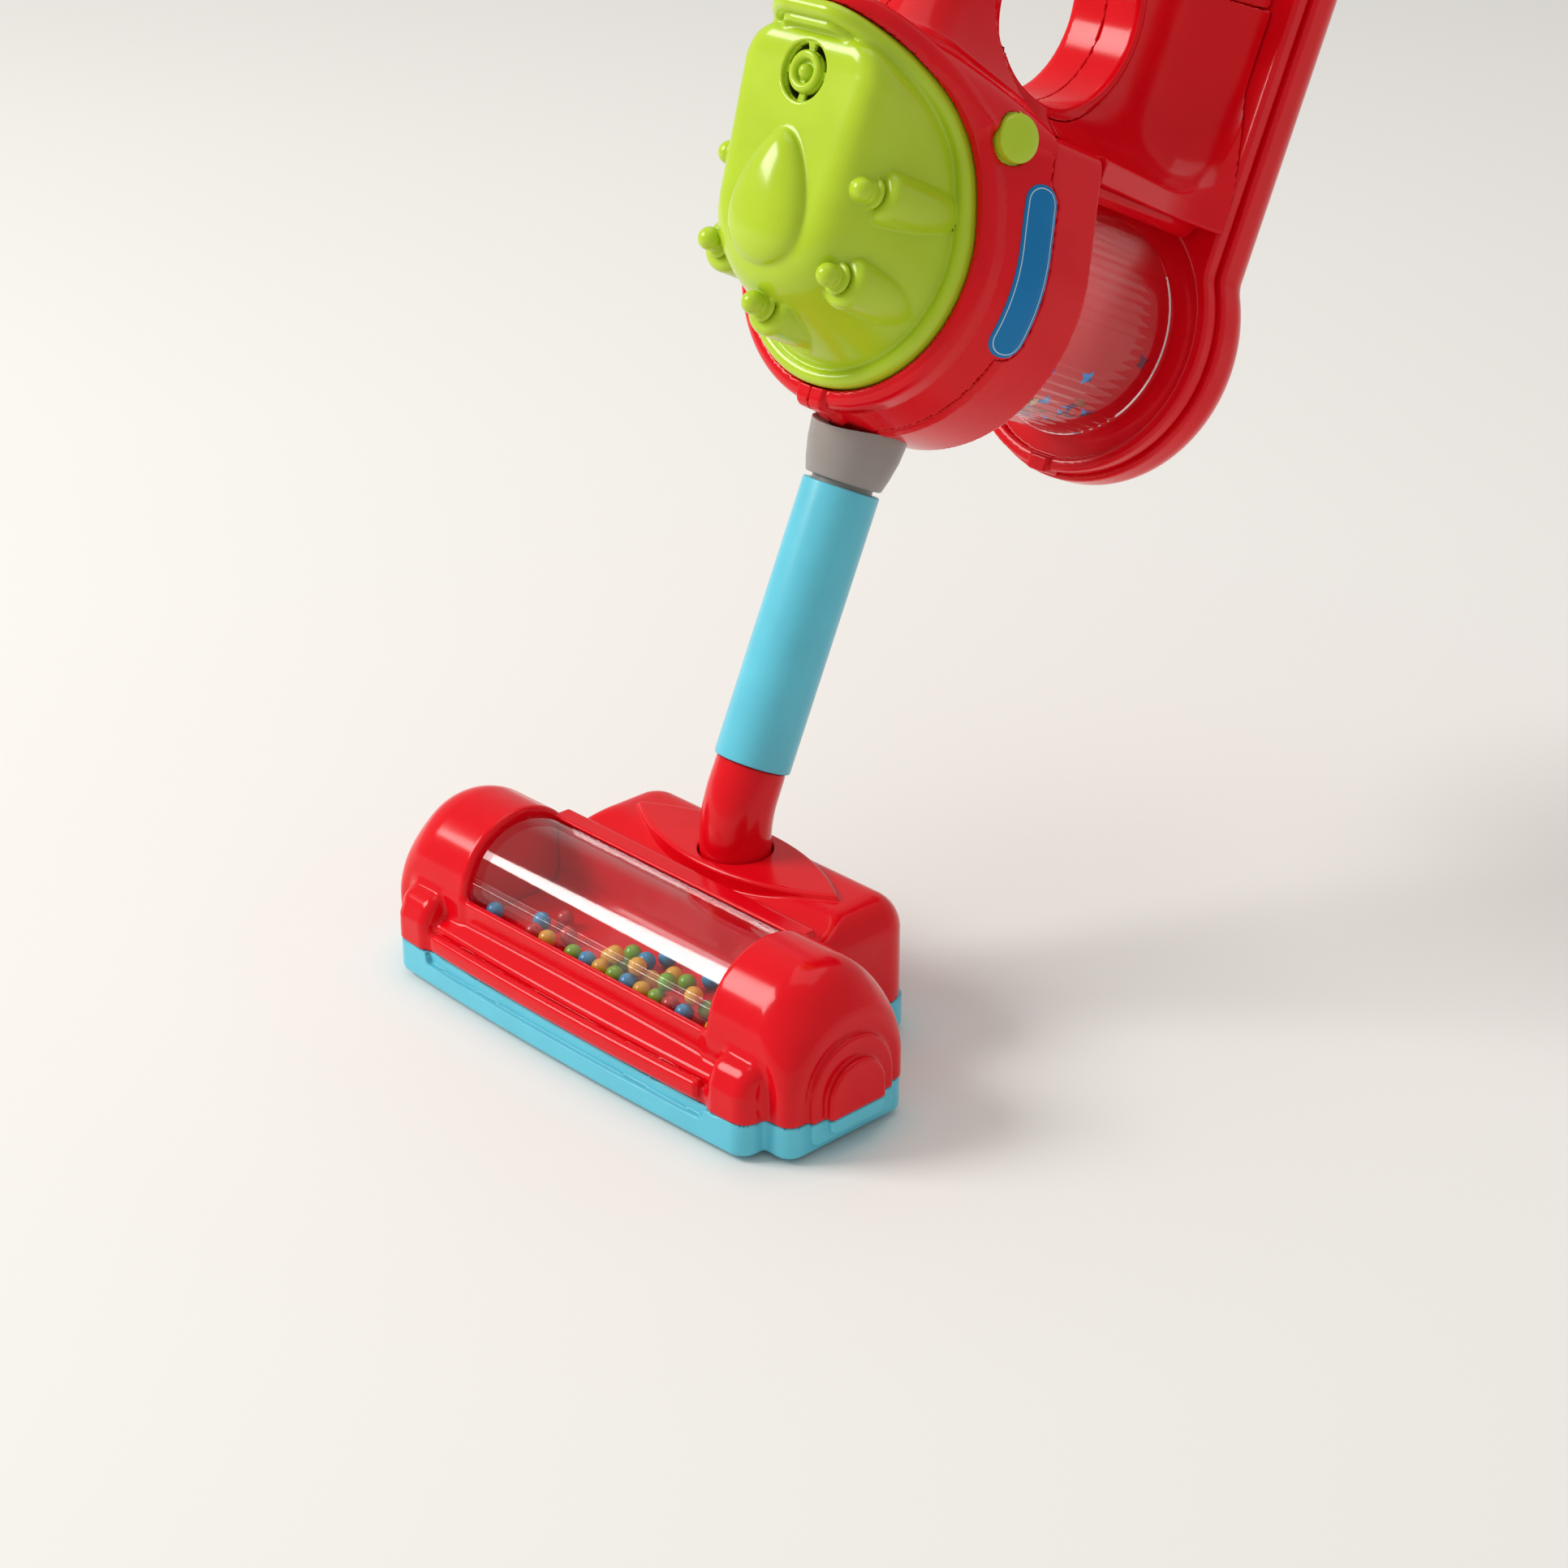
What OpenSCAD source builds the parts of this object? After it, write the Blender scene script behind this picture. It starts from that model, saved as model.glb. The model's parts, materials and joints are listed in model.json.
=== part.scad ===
// Toy vacuum cleaner: floor head on wheels, swivelling wand and hand unit with a confetti drum.
// Millimetres, +Z up. The origin is on the underside of the base, below the swivel of the neck.
// X runs along the floor head, Y runs from its front to its back.

/* [Stance] */
// Lean of the wand behind the vertical, in degrees
lean = 25; // [15:1:32]
// Height of the bend in the neck above the underside of the base
bend_z = 59.2; // [56:0.2:70]
// How far the wheels stand below the base
wheel_drop = 1.5; // [1:0.1:2.5]

/* [Floor head] */
// Half width over the end caps
cap_half_w = 93.5; // [78:0.5:112]
// Depth of an end cap from front to back
cap_depth = 49.2; // [46:0.2:59]
// Distance from the swivel forward to the back of the end caps
cap_back = 16.3; // [15:0.1:20]
// How far the bumper stands in front of the end caps
bumper_reach = 10.9; // [9:0.1:13]
// How far the bumper ends inside the end caps
bumper_inset = 10.5; // [8:0.1:13]
// Bow of the bumper's front edge
bumper_bow = 2.4; // [1:0.1:4]
// Height of the base tray
base_h = 11.3; // [11:0.1:13.5]
// Height from the base to the centre of the end arches
dome_lift = 18.2; // [15.5:0.1:21]
// Rounding of the dome towards the end face
dome_round = 17; // [14:0.5:20]
// Half width of the hump behind the window
hump_half_w = 60; // [52:0.5:70]
// Distance from the swivel back to the rear of the hump
hump_back = 21; // [18:0.5:25]
// Height of the hump above the base
hump_h = 35.2; // [33:0.2:40]
// Height of the leaf shaped pad on the hump
pad_h = 1.2; // [0.8:0.1:2]
// Half length of the leaf shaped pad
pad_half_l = 46; // [40:0.5:50]
// Half width of the leaf shaped pad
pad_half_w = 14.6; // [14:0.1:16]
// Half width of the clear window
window_half_w = 56.6; // [48:0.2:66]
// Outer radius of the clear window
window_r = 22; // [20:0.2:23]
// Wall of the moulded shells
wall = 2.2; // [1.8:0.1:2.6]
// Diameter of a bead
bead_d = 6; // [5:0.1:6.2]

/* [Wheels] */
// Wheel diameter
wheel_d = 14; // [12:0.2:15]
// Wheel width
wheel_w = 5; // [4:0.1:6]
// Axle diameter
axle_d = 3; // [2.5:0.1:3.5]

/* [Wand] */
// Outer diameter of the tube
tube_d = 25; // [23:0.2:30]
// Bore of the tube
tube_bore = 19.4; // [18:0.2:21]
// Length of the tube
tube_l = 91.3; // [76:0.5:120]
// Distance along the wand from the bend to the lower end of the tube
tube_start = 17.3; // [14:0.1:22]
// Outer diameter of the neck
neck_d = 23; // [22:0.1:23.6]
// Radius of the bend in the neck
neck_bend_r = 40; // [34:1:46]
// Diameter of the collar at its upper end
collar_top_d = 31.2; // [28:0.1:36]

/* [Hand unit] */
// Distance along the wand from the bend to the axis of the drum
axis_s = 180; // [178:0.5:196]
// Lower radius of the housing
body_r = 54.5; // [51.5:0.5:56]
// Half width of the housing at its shoulders
shoulder_half_w = 45; // [40:0.5:50]
// Height of the shoulders above the axis
shoulder_up = 48; // [46:0.5:52]
// Distance behind the wand of the joint between front and rear housing
seam_d = -5; // [-8:0.5:-2]
// Distance behind the wand of the rear edge of the housing
rear_edge_d = 19; // [17:0.5:23]
// How far the top of the front rim runs forward of its lower half
rim_lead = 46.5; // [43:0.5:48]
// Width of the lip around the front cover
lip_w = 5.6; // [4.6:0.1:6.7]
// Distance in front of the wand of the flat nose
nose_d = 70.5; // [66:0.5:76]
// Diameter of the clear drum
drum_d = 73; // [62:0.5:74]
// Length of the clear drum
drum_l = 74.4; // [66:0.2:82]
// Wall of the clear drum
drum_wall = 1.8; // [1.4:0.1:2.2]
// Radius of the round lower end of the rear panel
panel_r = 50.1; // [46:0.1:52]
// Half width of the straight part of the rear panel
panel_half_w = 42.5; // [38:0.1:45]
// Height of the rear panel above the axis
panel_up = 140; // [128:1:150]
// Thickness of the rear panel
panel_t = 6.5; // [5.5:0.1:8]
// Thickness of the back cover
back_t = 18.5; // [18:0.1:20]
// Radius of the finger opening
grip_hole_r = 30; // [26:0.5:31]
// Half width of the handle loop
loop_half_w = 13; // [11:0.2:15]
// Diameter of the round side button
button_d = 13; // [11:0.1:15]
// Travel of the side button
button_travel = 2; // [1:0.1:2.4]

/* [Hidden] */
// Overrun of a cut beyond the face it opens
over = 1;
// Clearance between fixed pieces
fit = 0.2;
// Radial running clearance of a shaft or pin
run_fit = 0.05;
// Clearance between moving pieces
free_gap = 0.4;
$fn = 64;

// Floor head, worked out from the sizes above
cap_mid_y = -cap_back - cap_depth / 2;
cap_front_y = -cap_back - cap_depth;
front_y = cap_front_y - bumper_reach;
bumper_half_w = cap_half_w - bumper_inset;
bow_r = (bumper_half_w * bumper_half_w + bumper_bow * bumper_bow) / (2 * bumper_bow);
dome_r = cap_depth / 2;
dome_z = base_h + dome_lift;
dome_top = dome_z + dome_r;
dome_in_x = window_half_w + fit;
hump_top = base_h + hump_h;
hump_front_share = 0.67;
hump_front_y = cap_mid_y + dome_r * hump_front_share;
window_edge_z = dome_z + sqrt(dome_r * dome_r - pow(hump_front_y - cap_mid_y, 2));
lip_y = cap_mid_y - dome_r;
lip_z = dome_z + fit;
ledge_share = 0.45;
ledge_z = base_h * ledge_share;
ledge_in = 1;
floor_t = 2;
bumper_corner_r = 6;
cap_corner_r = 5;
hump_corner_r = 10;
hump_edge_r = 13;
step_outs = [2, 4.5];
step_half_shares = [0.68, 0.46];
step_top_shares = [0.54, 0.38];
step_floor = 4;
bumper_profile_shares = [[0, 0], [0, 0.36], [0.12, 0.4], [0.89, 0.6], [1, 1]];
boss_profile_shares = [[0, 0], [0, 0.55], [0.1, 0.78], [0.35, 0.96], [0.6, 1.04], [1.3, 1.04], [1.3, 0]];
boss_w = 17;
rib_r = 1.5;
rib_up = 4.4;

// Wheels and axles
wheel_r = wheel_d / 2;
axle_z = wheel_r - wheel_drop;
side_wall = wall + ledge_in;
front_axle_share = 0.42;
front_axle_y = cap_mid_y - dome_r * front_axle_share;
rear_axle_y = hump_back - side_wall - free_gap - wheel_r;
front_wheel_x = cap_half_w - side_wall - free_gap - wheel_w / 2;
rear_wheel_x = hump_half_w - hump_corner_r - free_gap - wheel_w / 2;
axle_rib = 3;
front_axle_end = cap_half_w - side_wall - fit;
rear_axle_end = rear_wheel_x + wheel_w / 2 + free_gap + axle_rib - fit;

// Neck and bearing
neck_r = neck_d / 2;
spigot_wall = 2.6;
neck_bore_r = tube_bore / 2 - spigot_wall;
neck_hole_gap = 0.8;
neck_hole_r = neck_r + neck_hole_gap;
bearing_drop = 12.5;
bearing_z0 = hump_top - bearing_drop;
bearing_t = 5;
bearing_r = 19;
thrust_r = 8;
neck_foot_up = 3;
neck_foot_z = base_h + neck_foot_up;
flange_reach = 3;
flange_r = neck_r + flange_reach;
flange_t = 2.4;
bend_tangent = neck_bend_r * tan(lean / 2);
spigot_l = 18;
spigot_r = tube_bore / 2 - run_fit;
tube_r = tube_d / 2;
tube_end = tube_start + tube_l;
collar_gap = 1.6;
collar_s = tube_end + collar_gap;
collar_bottom_r = tube_r - fit;
collar_top_r = collar_top_d / 2;
collar_taper_shares = [[0, 0], [0.3, 0.42], [0.65, 0.8], [1, 1]];
stem_r = 10;
stem_up = 15;
stem_flange_r = 11.6;
stem_flange_t = 2.4;

// Bead chamber
tray_share = 0.36;
tray_z = dome_z - window_r * tray_share;
tray_t = 1.5;
tray_back_share = 0.6;
tray_back_y = cap_mid_y + dome_r * tray_back_share;
tray_back_top = dome_z + sqrt(pow(window_r - wall - fit, 2) - pow(tray_back_y - cap_mid_y, 2));
tray_inset = 3.2;
tray_front_y = lip_y + tray_inset;
bead_r = bead_d / 2;
bead_gap_share = 0.08;
bead_pitch = bead_d * (1 + bead_gap_share);
bead_cols = floor(2 * (window_half_w - bead_d) / bead_pitch);
bead_rows = 3;
bead_thin_share = 0.45;
bead_stir = 83;
bead_turn = 47;

// Front rim, as circles (across, up, radius) with a common tangent; its top runs forward
face_d = -26;
rim_low_r = 44.4;
rim_low_v = 0.3;
rim_up_r = 27.5;
rim_up_x = 7;
rim_up_v = 35;
rim_top_v = rim_up_v + rim_up_r;
rim_bend = 4;
rim_circles = [[0, rim_low_v, rim_low_r], [rim_up_x, rim_up_v, rim_up_r], [-rim_up_x, rim_up_v, rim_up_r]];
lip_t = 8;
lip_round = 2;
ledge_w = 3;
shoulder_r = 5;
shoulder_x = shoulder_half_w - shoulder_r;
shoulder_v = shoulder_up - shoulder_r;
body_circles = [[0, 0, body_r], [shoulder_x, shoulder_v, shoulder_r], [-shoulder_x, shoulder_v, shoulder_r]];
half_steps = 24;
side_shares = [1, 0.75, 0.5, 0.25, 0];
lip_caps = [[6, 7, 8], [5, 6, 8], [4, 5, 8], [3, 4, 8], [2, 3, 8], [2, 8, 10], [8, 9, 10], [1, 2, 10], [0, 1, 10],
    [0, 10, 11]];
label_caps = [[0, 1, 9], [1, 8, 9], [1, 2, 8], [2, 7, 8], [2, 3, 7], [3, 6, 7], [3, 4, 6], [4, 5, 6]];

// Nose, egg, grille and cones of the front cover
nose_half_w = 25;
nose_low_v = 5;
nose_corner_r = 8;
nose_top_x = 15;
nose_top_v = 45;
nose_round = 2;
nose_circles = [[0, nose_low_v, nose_half_w], [nose_top_x, nose_top_v, nose_corner_r],
    [-nose_top_x, nose_top_v, nose_corner_r]];
flange_in = 3;
cover_flange_t = 3;
ledge_gap = 0.7;
cover_wall = 2.4;
cover_steps = 2 * half_steps;
flank_shares = [0.5];
egg_up = 6;
egg_low_v = -6;
egg_high_v = 10;
egg_low_r = 13;
egg_high_r = 9;
egg_h = 5;
egg_circles = [[0, egg_low_v, egg_low_r], [0, egg_high_v, egg_high_r]];
egg_turn_shares = [0, 0.3, 0.55, 0.75, 0.92];
egg_steps = 28;
grille_up = 42;
grille_s = axis_s + grille_up;
grille_r = 9;
grille_depth = 1.4;
grille_bar = 1.5;
grille_slot_rs = [[7.6, 6.2], [4.4, 3]];
cone_ring_r = 30;
cone_up = 4;
cone_angles = [-90, -32, 20, 160, 212];
cone_ball_r = 3.1;
cone_neck_r = 3.6;
cone_step_r = 5.2;
cone_body_r = 8;
cone_body_l = 22;
cone_ball_d = 62.3;
cone_profile_ls = [1.8, 3.6, 5.4, 9];

// Rear housing, motor and drum
back_wall_d = 12.2;
back_wall_t = 2.5;
drum_r = drum_d / 2;
drum_front = back_wall_d + back_wall_t + fit;
drum_back = drum_front + drum_l;
motor_r = 12;
motor_l = 31;
motor_ring_t = 2.4;
motor_ring_l = 16;
motor_boss_r = 3.1;
shaft_r = 1;
fan_gap = 5;
fan_d0 = drum_front + fan_gap;
fan_hub_r = 5;
fan_hub_l = 8;
fan_clear = 4;
fan_r = drum_r - drum_wall - fan_clear;
fan_blades = 6;
fan_blade_t = 1.4;
fan_blade_turn = 24;
shaft_port_r = 4;
flake_l = 6;
flake_w = 4.4;
flake_t = 0.6;
flake_count = 7;
flake_first_share = 0.42;
flake_fan = 17;
flake_wander = 5;
flake_stir = 97;

// Rear panel, back cover and batteries
panel_d = drum_back + fit;
panel_in = 2;
back_d = panel_d + panel_t + fit;
back_end = back_d + back_t;
panel_corner_r = 18;
cell_d = 14.2;
cell_l = 50.5;
cell_gap = 0.6;
cell_count = 3;
cell_up = 8;
door_half_w = 27;
door_half_h = 36;
door_t = 2.2;
door_margin = 2;
contact_t = 1;
contact_gap = 0.3;

// Handle loop and bridge, measured behind the wand and above the axis
grip_hole_d = 20;
grip_hole_up = 89;
loop_front_d = -36;
loop_up = 136;
loop_corner_r = 26;
leg_foot_d = -52;
leg_foot_half_w = 16;
leg_sink = 8;
leg_top_up = 84;
bridge_drop = 8;
bridge_back_half_w = 29;
funnel_up = 112;
funnel_front_d = 54;

// Side button, switch and label
button_x = 42;
button_dd = -20.8;
button_up = 43;
button_yaw = -12;
button_pitch = 10;
button_proud = 1.6;
button_flange = 1.4;
button_flange_t = 1.2;
button_slack = 1;
button_depth = wall + button_slack + button_flange_t;
board_w = 20;
board_h = 14;
board_t = 1.6;
board_back = 12.5;
switch_w = 6;
switch_h = 3.2;
post_r = 2;
label_back_d = -6;
label_w = 11.4;
label_low = -19;
label_high = 33;
label_t = 0.5;
label_steps = [8 : 20];

// Speaker
speaker_r = 6.3;
speaker_magnet_r = 5;
speaker_rim_t = 2.6;
speaker_l = 7;
collar_saddle = 4;

// Screws
screw_r = 1.5;
screw_head_r = 2.8;
screw_head_t = 2;
screw_post_r = 4;
screw_reach = 8;
housing_screws_at = [[-22, 94], [-10, 122], [72, 118]];
base_screw_at = [36, -2];

red = "#d8101c";
lime = "#a9c61c";
sky = "#5cc4d6";
grey = "#98908a";
clear = [0.85, 0.92, 0.95, 0.35];
bead_colours = ["#d22b2b", "#f0a52b", "#3a8fc4", "#86b52c"];

// Frames of reference
module unit_frame() {
    translate([0, 0, bend_z]) rotate([-lean, 0, 0]) children();
}

module slab(d0, d1) {
    translate([0, d1, axis_s]) rotate([90, 0, 0]) linear_extrude(d1 - d0) children();
}

module side_slab(half) {
    translate([0, 0, axis_s]) rotate([90, 0, 90]) translate([0, 0, -half]) linear_extrude(2 * half) children();
}

module along_x(x0, x1) {
    translate([x0, 0, 0]) rotate([90, 0, 90]) linear_extrude(x1 - x0) children();
}

module axis_rod(x0, x1, r) {
    translate([x0, 0, 0]) rotate([0, 90, 0]) cylinder(h = x1 - x0, r = r);
}

module d_rod(d0, d1, r) {
    translate([0, d0, axis_s]) rotate([-90, 0, 0]) cylinder(h = d1 - d0, r = r);
}

module rounded_rect(x0, x1, y0, y1, r) {
    translate([x0 + r, y0]) square([x1 - x0 - 2 * r, y1 - y0]);
    translate([x0, y0 + r]) square([x1 - x0, y1 - y0 - 2 * r]);
    for (x = [x0 + r, x1 - r], y = [y0 + r, y1 - r]) translate([x, y]) circle(r);
}

// Floor head outlines seen from above
module bumper_plan(off) {
    intersection() {
        rounded_rect(-bumper_half_w - off, bumper_half_w + off, front_y - off, cap_mid_y, bumper_corner_r + off);
        translate([0, front_y + bow_r]) circle(bow_r + off, $fn = 360);
    }
}

module cap_plan(off) {
    rounded_rect(-cap_half_w - off, cap_half_w + off, cap_front_y - off, -cap_back + off, cap_corner_r + off);
}

module hump_plan(off) {
    rounded_rect(-hump_half_w - off, hump_half_w + off, cap_mid_y, hump_back + off, hump_corner_r + off);
}

module step_plan(i, off) {
    h = dome_r * step_half_shares[i];
    x = cap_half_w + step_outs[i] + off;
    translate([-x, cap_mid_y - h - off]) square([2 * x, 2 * (h + off)]);
}

module head_plan(off) {
    bumper_plan(off);
    cap_plan(off);
    hump_plan(off);
}

module wheel_wells() {
    for (side = [-1, 1]) {
        well(side * front_wheel_x, front_axle_y);
        well(side * rear_wheel_x, rear_axle_y);
    }
}

module well(x, y) {
    l = wheel_r + free_gap;
    w = wheel_w / 2 + free_gap;
    translate([x - w, y - l, -over]) cube([2 * w, 2 * l, floor_t + 2 * over]);
}

module axle_rib_at(x, y) {
    translate([x, y - wheel_r, floor_t / 2]) cube([axle_rib, wheel_d, base_h - floor_t]);
}

// The light blue tray with the axle ribs and the thrust post of the neck
module base_tray() {
    reach = wheel_w / 2 + free_gap;
    color(sky) difference() {
        union() {
            difference() {
                union() {
                    linear_extrude(ledge_z) head_plan(-ledge_in);
                    translate([0, 0, ledge_z]) linear_extrude(base_h - ledge_z) head_plan(0);
                    for (i = [0, 1]) {
                        translate([0, 0, step_floor]) linear_extrude(base_h - step_floor) step_plan(i, 0);
                    }
                }
                translate([0, 0, floor_t]) linear_extrude(base_h) head_plan(-side_wall);
            }
            for (side = [0, 1]) mirror([side, 0, 0]) {
                axle_rib_at(front_wheel_x - reach - axle_rib, front_axle_y);
                axle_rib_at(rear_wheel_x - reach - axle_rib, rear_axle_y);
                axle_rib_at(rear_wheel_x + reach, rear_axle_y);
                translate([base_screw_at[0], base_screw_at[1], floor_t / 2])
                    cylinder(h = base_h - floor_t / 2, r = screw_post_r);
            }
            translate([0, 0, floor_t / 2]) cylinder(h = neck_foot_z - fit - floor_t / 2, r = thrust_r);
        }
        wheel_wells();
        translate([0, front_axle_y, axle_z]) axis_rod(-front_axle_end - fit, front_axle_end + fit, axle_d / 2 + run_fit);
        translate([0, rear_axle_y, axle_z]) axis_rod(-rear_axle_end - fit, rear_axle_end + fit, axle_d / 2 + run_fit);
        for (side = [-1, 1]) translate([side * base_screw_at[0], base_screw_at[1], -over]) {
            cylinder(h = base_h + 2 * over, r = screw_r + run_fit);
            cylinder(h = over + floor_t + screw_head_t, r = screw_head_r + fit);
        }
    }
}

// Outer forms of the red upper shell; off shrinks them for the cavity
module dome_form(off) {
    top = dome_top + off;
    x1 = cap_half_w + off;
    r = dome_round + off;
    z0 = base_h + (off < 0 ? off : 0);
    for (side = [-1, 1]) intersection() {
        mirror([side < 0 ? 1 : 0, 0, 0]) along_x(dome_in_x - off, x1) union() {
            translate([cap_mid_y, dome_z]) circle(dome_r + off);
            translate([cap_mid_y - dome_r - off, z0]) square([2 * (dome_r + off), dome_z - z0]);
        }
        translate([0, 0, z0]) linear_extrude(top) cap_plan(off);
        translate([0, -cap_back + cap_depth, 0]) rotate([90, 0, 0]) linear_extrude(3 * cap_depth) union() {
            translate([-x1 + r, z0]) square([2 * (x1 - r), top - z0]);
            translate([-x1, z0]) square([2 * x1, top - r - z0]);
            for (sx = [-1, 1]) translate([sx * (x1 - r), top - r]) circle(r);
        }
    }
}

module step_form() {
    for (i = [0, 1]) {
        h = dome_r * step_half_shares[i];
        top = base_h + (dome_top - base_h) * step_top_shares[i];
        x = cap_half_w + step_outs[i];
        for (side = [0, 1]) mirror([side, 0, 0]) along_x(cap_half_w - wall, x) intersection() {
            union() {
                translate([cap_mid_y, top - h]) circle(h);
                translate([cap_mid_y - h, base_h]) square([2 * h, top - h - base_h]);
            }
            translate([cap_mid_y - h, base_h]) square([2 * h, dome_top]);
        }
    }
}

function bumper_point(share, off) = [
    front_y - off + (lip_y - front_y) * share[0],
    base_h + (lip_z - base_h) * share[1] + (share[1] > 0 ? off : 0)];

module bumper_form(off) {
    z0 = base_h + (off < 0 ? off : 0);
    intersection() {
        union() {
            along_x(-bumper_half_w, bumper_half_w) union() {
                polygon(concat([for (s = bumper_profile_shares) bumper_point(s, off)], [[lip_y - off, z0], [front_y - off, z0]]));
            }
            for (side = [-1, 1]) {
                x0 = bumper_half_w - boss_w - off;
                mirror([side < 0 ? 1 : 0, 0, 0]) along_x(x0, bumper_half_w)
                    polygon([for (s = boss_profile_shares) bumper_point(s, off)]);
            }
            if (off == 0) translate([0, front_y + bumper_bow, base_h + rib_up])
                axis_rod(-bumper_half_w + boss_w, bumper_half_w - boss_w, rib_r + bumper_bow / 2);
        }
        translate([0, 0, z0]) linear_extrude(dome_top) bumper_plan(off);
    }
}

module hump_form(off) {
    top = hump_top + off;
    z0 = base_h + (off < 0 ? off : 0);
    x1 = hump_half_w + off;
    y1 = hump_back + off;
    r = hump_edge_r + off;
    intersection() {
        translate([0, 0, z0]) linear_extrude(top) difference() {
            hump_plan(off);
            translate([-2 * hump_half_w, -2 * cap_depth]) square([4 * hump_half_w, 2 * cap_depth + hump_front_y - off]);
        }
        translate([0, 2 * y1, 0]) rotate([90, 0, 0]) linear_extrude(4 * cap_depth) union() {
            translate([-x1 + r, z0]) square([2 * (x1 - r), top - z0]);
            translate([-x1, z0]) square([2 * x1, top - r - z0]);
            for (sx = [-1, 1]) translate([sx * (x1 - r), top - r]) circle(r);
        }
        along_x(-hump_half_w, hump_half_w) union() {
            translate([-cap_depth, z0]) square([cap_depth + y1 - r, top - z0]);
            translate([-cap_depth, z0]) square([cap_depth + y1, top - r - z0]);
            translate([y1 - r, top - r]) circle(r);
        }
    }
}

module leaf_plan() {
    r = (pad_half_l * pad_half_l + pad_half_w * pad_half_w) / (2 * pad_half_w);
    intersection() {
        translate([0, r - pad_half_w]) circle(r, $fn = 180);
        translate([0, pad_half_w - r]) circle(r, $fn = 180);
    }
}

// The glossy red upper shell of the floor head
module head_shell() {
    color(red) difference() {
        union() {
            dome_form(0);
            step_form();
            bumper_form(0);
            hump_form(0);
            translate([0, 0, hump_top - pad_h]) linear_extrude(2 * pad_h) leaf_plan();
            translate([-dome_in_x, hump_front_y, base_h]) cube([2 * dome_in_x, wall, window_edge_z - base_h]);
        }
        dome_form(-wall);
        bumper_form(-wall);
        hump_form(-wall);
        translate([0, 0, bearing_z0]) cylinder(h = hump_top, r = neck_hole_r);
        bearing_cut(fit);
        window_bay();
        translate([-dome_in_x, tray_front_y, base_h - over])
            cube([2 * dome_in_x, hump_front_y - tray_front_y, tray_z - base_h + over + fit]);
    }
    color(red) difference() {
        for (side = [-1, 1]) translate([side * base_screw_at[0], base_screw_at[1], base_h])
            cylinder(h = hump_h - wall / 2, r = screw_post_r);
        for (side = [-1, 1]) translate([side * base_screw_at[0], base_screw_at[1], base_h - over])
            cylinder(h = screw_reach + over, r = screw_r + run_fit);
    }
}

module window_bay() {
    along_x(-dome_in_x, dome_in_x) translate([cap_mid_y, dome_z]) circle(window_r + fit);
}

// The clear window over the beads
module window() {
    color(clear) along_x(-window_half_w, window_half_w) difference() {
        translate([cap_mid_y, dome_z]) circle(window_r);
        translate([cap_mid_y, dome_z]) circle(window_r - wall);
        translate([cap_mid_y - 2 * window_r, tray_z - 2 * window_r]) square([4 * window_r, 2 * window_r + tray_t + fit]);
        translate([tray_back_y - fit, -window_r]) square([2 * window_r, 6 * window_r]);
    }
}

// The liner that holds the beads behind the window
module bead_tray() {
    y1 = hump_front_y - fit;
    color(red) along_x(-window_half_w, window_half_w) union() {
        translate([tray_front_y + fit, tray_z]) square([y1 - tray_front_y - fit, tray_t]);
        translate([tray_back_y, tray_z]) square([y1 - tray_back_y, tray_back_top - tray_z]);
    }
}

// Beads lie on the tray in rows, thinner to the left
function bead_pick(c, r) = floor(bead_stir * abs(sin(c * bead_stir + r * bead_turn)));
function bead_kept(c, r) = c > bead_cols * bead_thin_share ? (c + r) % 5 != 0 : (c * 3 + r * 2) % 3 == 0;
function bead_row_y(r) = tray_front_y + fit + wall + bead_r + r * bead_pitch;
function bead_x(c, r) = -window_half_w + bead_d + c * bead_pitch + (r % 2) * bead_pitch / 2;

module beads(k) {
    color(bead_colours[k]) for (c = [0 : bead_cols - 1], r = [0 : bead_rows - 1])
        if (bead_pick(c, r) % 4 == k && bead_kept(c, r))
            translate([bead_x(c, r), bead_row_y(r), tray_z + tray_t + run_fit + bead_r]) sphere(bead_r, $fn = 32);
}

module beads_red() { beads(0); }
module beads_yellow() { beads(1); }
module beads_blue() { beads(2); }
module beads_green() { beads(3); }

// Steel axles and blue wheels
module front_axle() {
    color("silver") translate([0, front_axle_y, axle_z]) axis_rod(-front_axle_end, front_axle_end, axle_d / 2);
}

module rear_axle() {
    color("silver") translate([0, rear_axle_y, axle_z]) axis_rod(-rear_axle_end, rear_axle_end, axle_d / 2);
}

module wheel(x, y) {
    color(sky) translate([x - wheel_w / 2, y, axle_z]) rotate([0, 90, 0]) difference() {
        cylinder(h = wheel_w, r = wheel_r);
        translate([0, 0, -over]) cylinder(h = wheel_w + 2 * over, r = axle_d / 2 + run_fit);
    }
}

module front_left_wheel() { wheel(-front_wheel_x, front_axle_y); }
module front_right_wheel() { wheel(front_wheel_x, front_axle_y); }
module rear_left_wheel() { wheel(-rear_wheel_x, rear_axle_y); }
module rear_right_wheel() { wheel(rear_wheel_x, rear_axle_y); }

// The plate under the hump that guides the neck
module bearing_cut(gap) {
    translate([0, 0, bearing_z0 - gap]) cylinder(h = bearing_t + 2 * gap, r = bearing_r + gap);
}

module swivel_bearing() {
    post_reach = base_screw_at[0] - screw_post_r - fit;
    color(grey) difference() {
        union() {
            translate([0, 0, bearing_z0]) cylinder(h = bearing_t, r = bearing_r);
            translate([-post_reach, base_screw_at[1] - screw_post_r, bearing_z0])
                cube([2 * post_reach, 2 * screw_post_r, bearing_t]);
        }
        translate([0, 0, bearing_z0 - over]) cylinder(h = bearing_t + 2 * over, r = neck_r + run_fit);
    }
}

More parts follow.
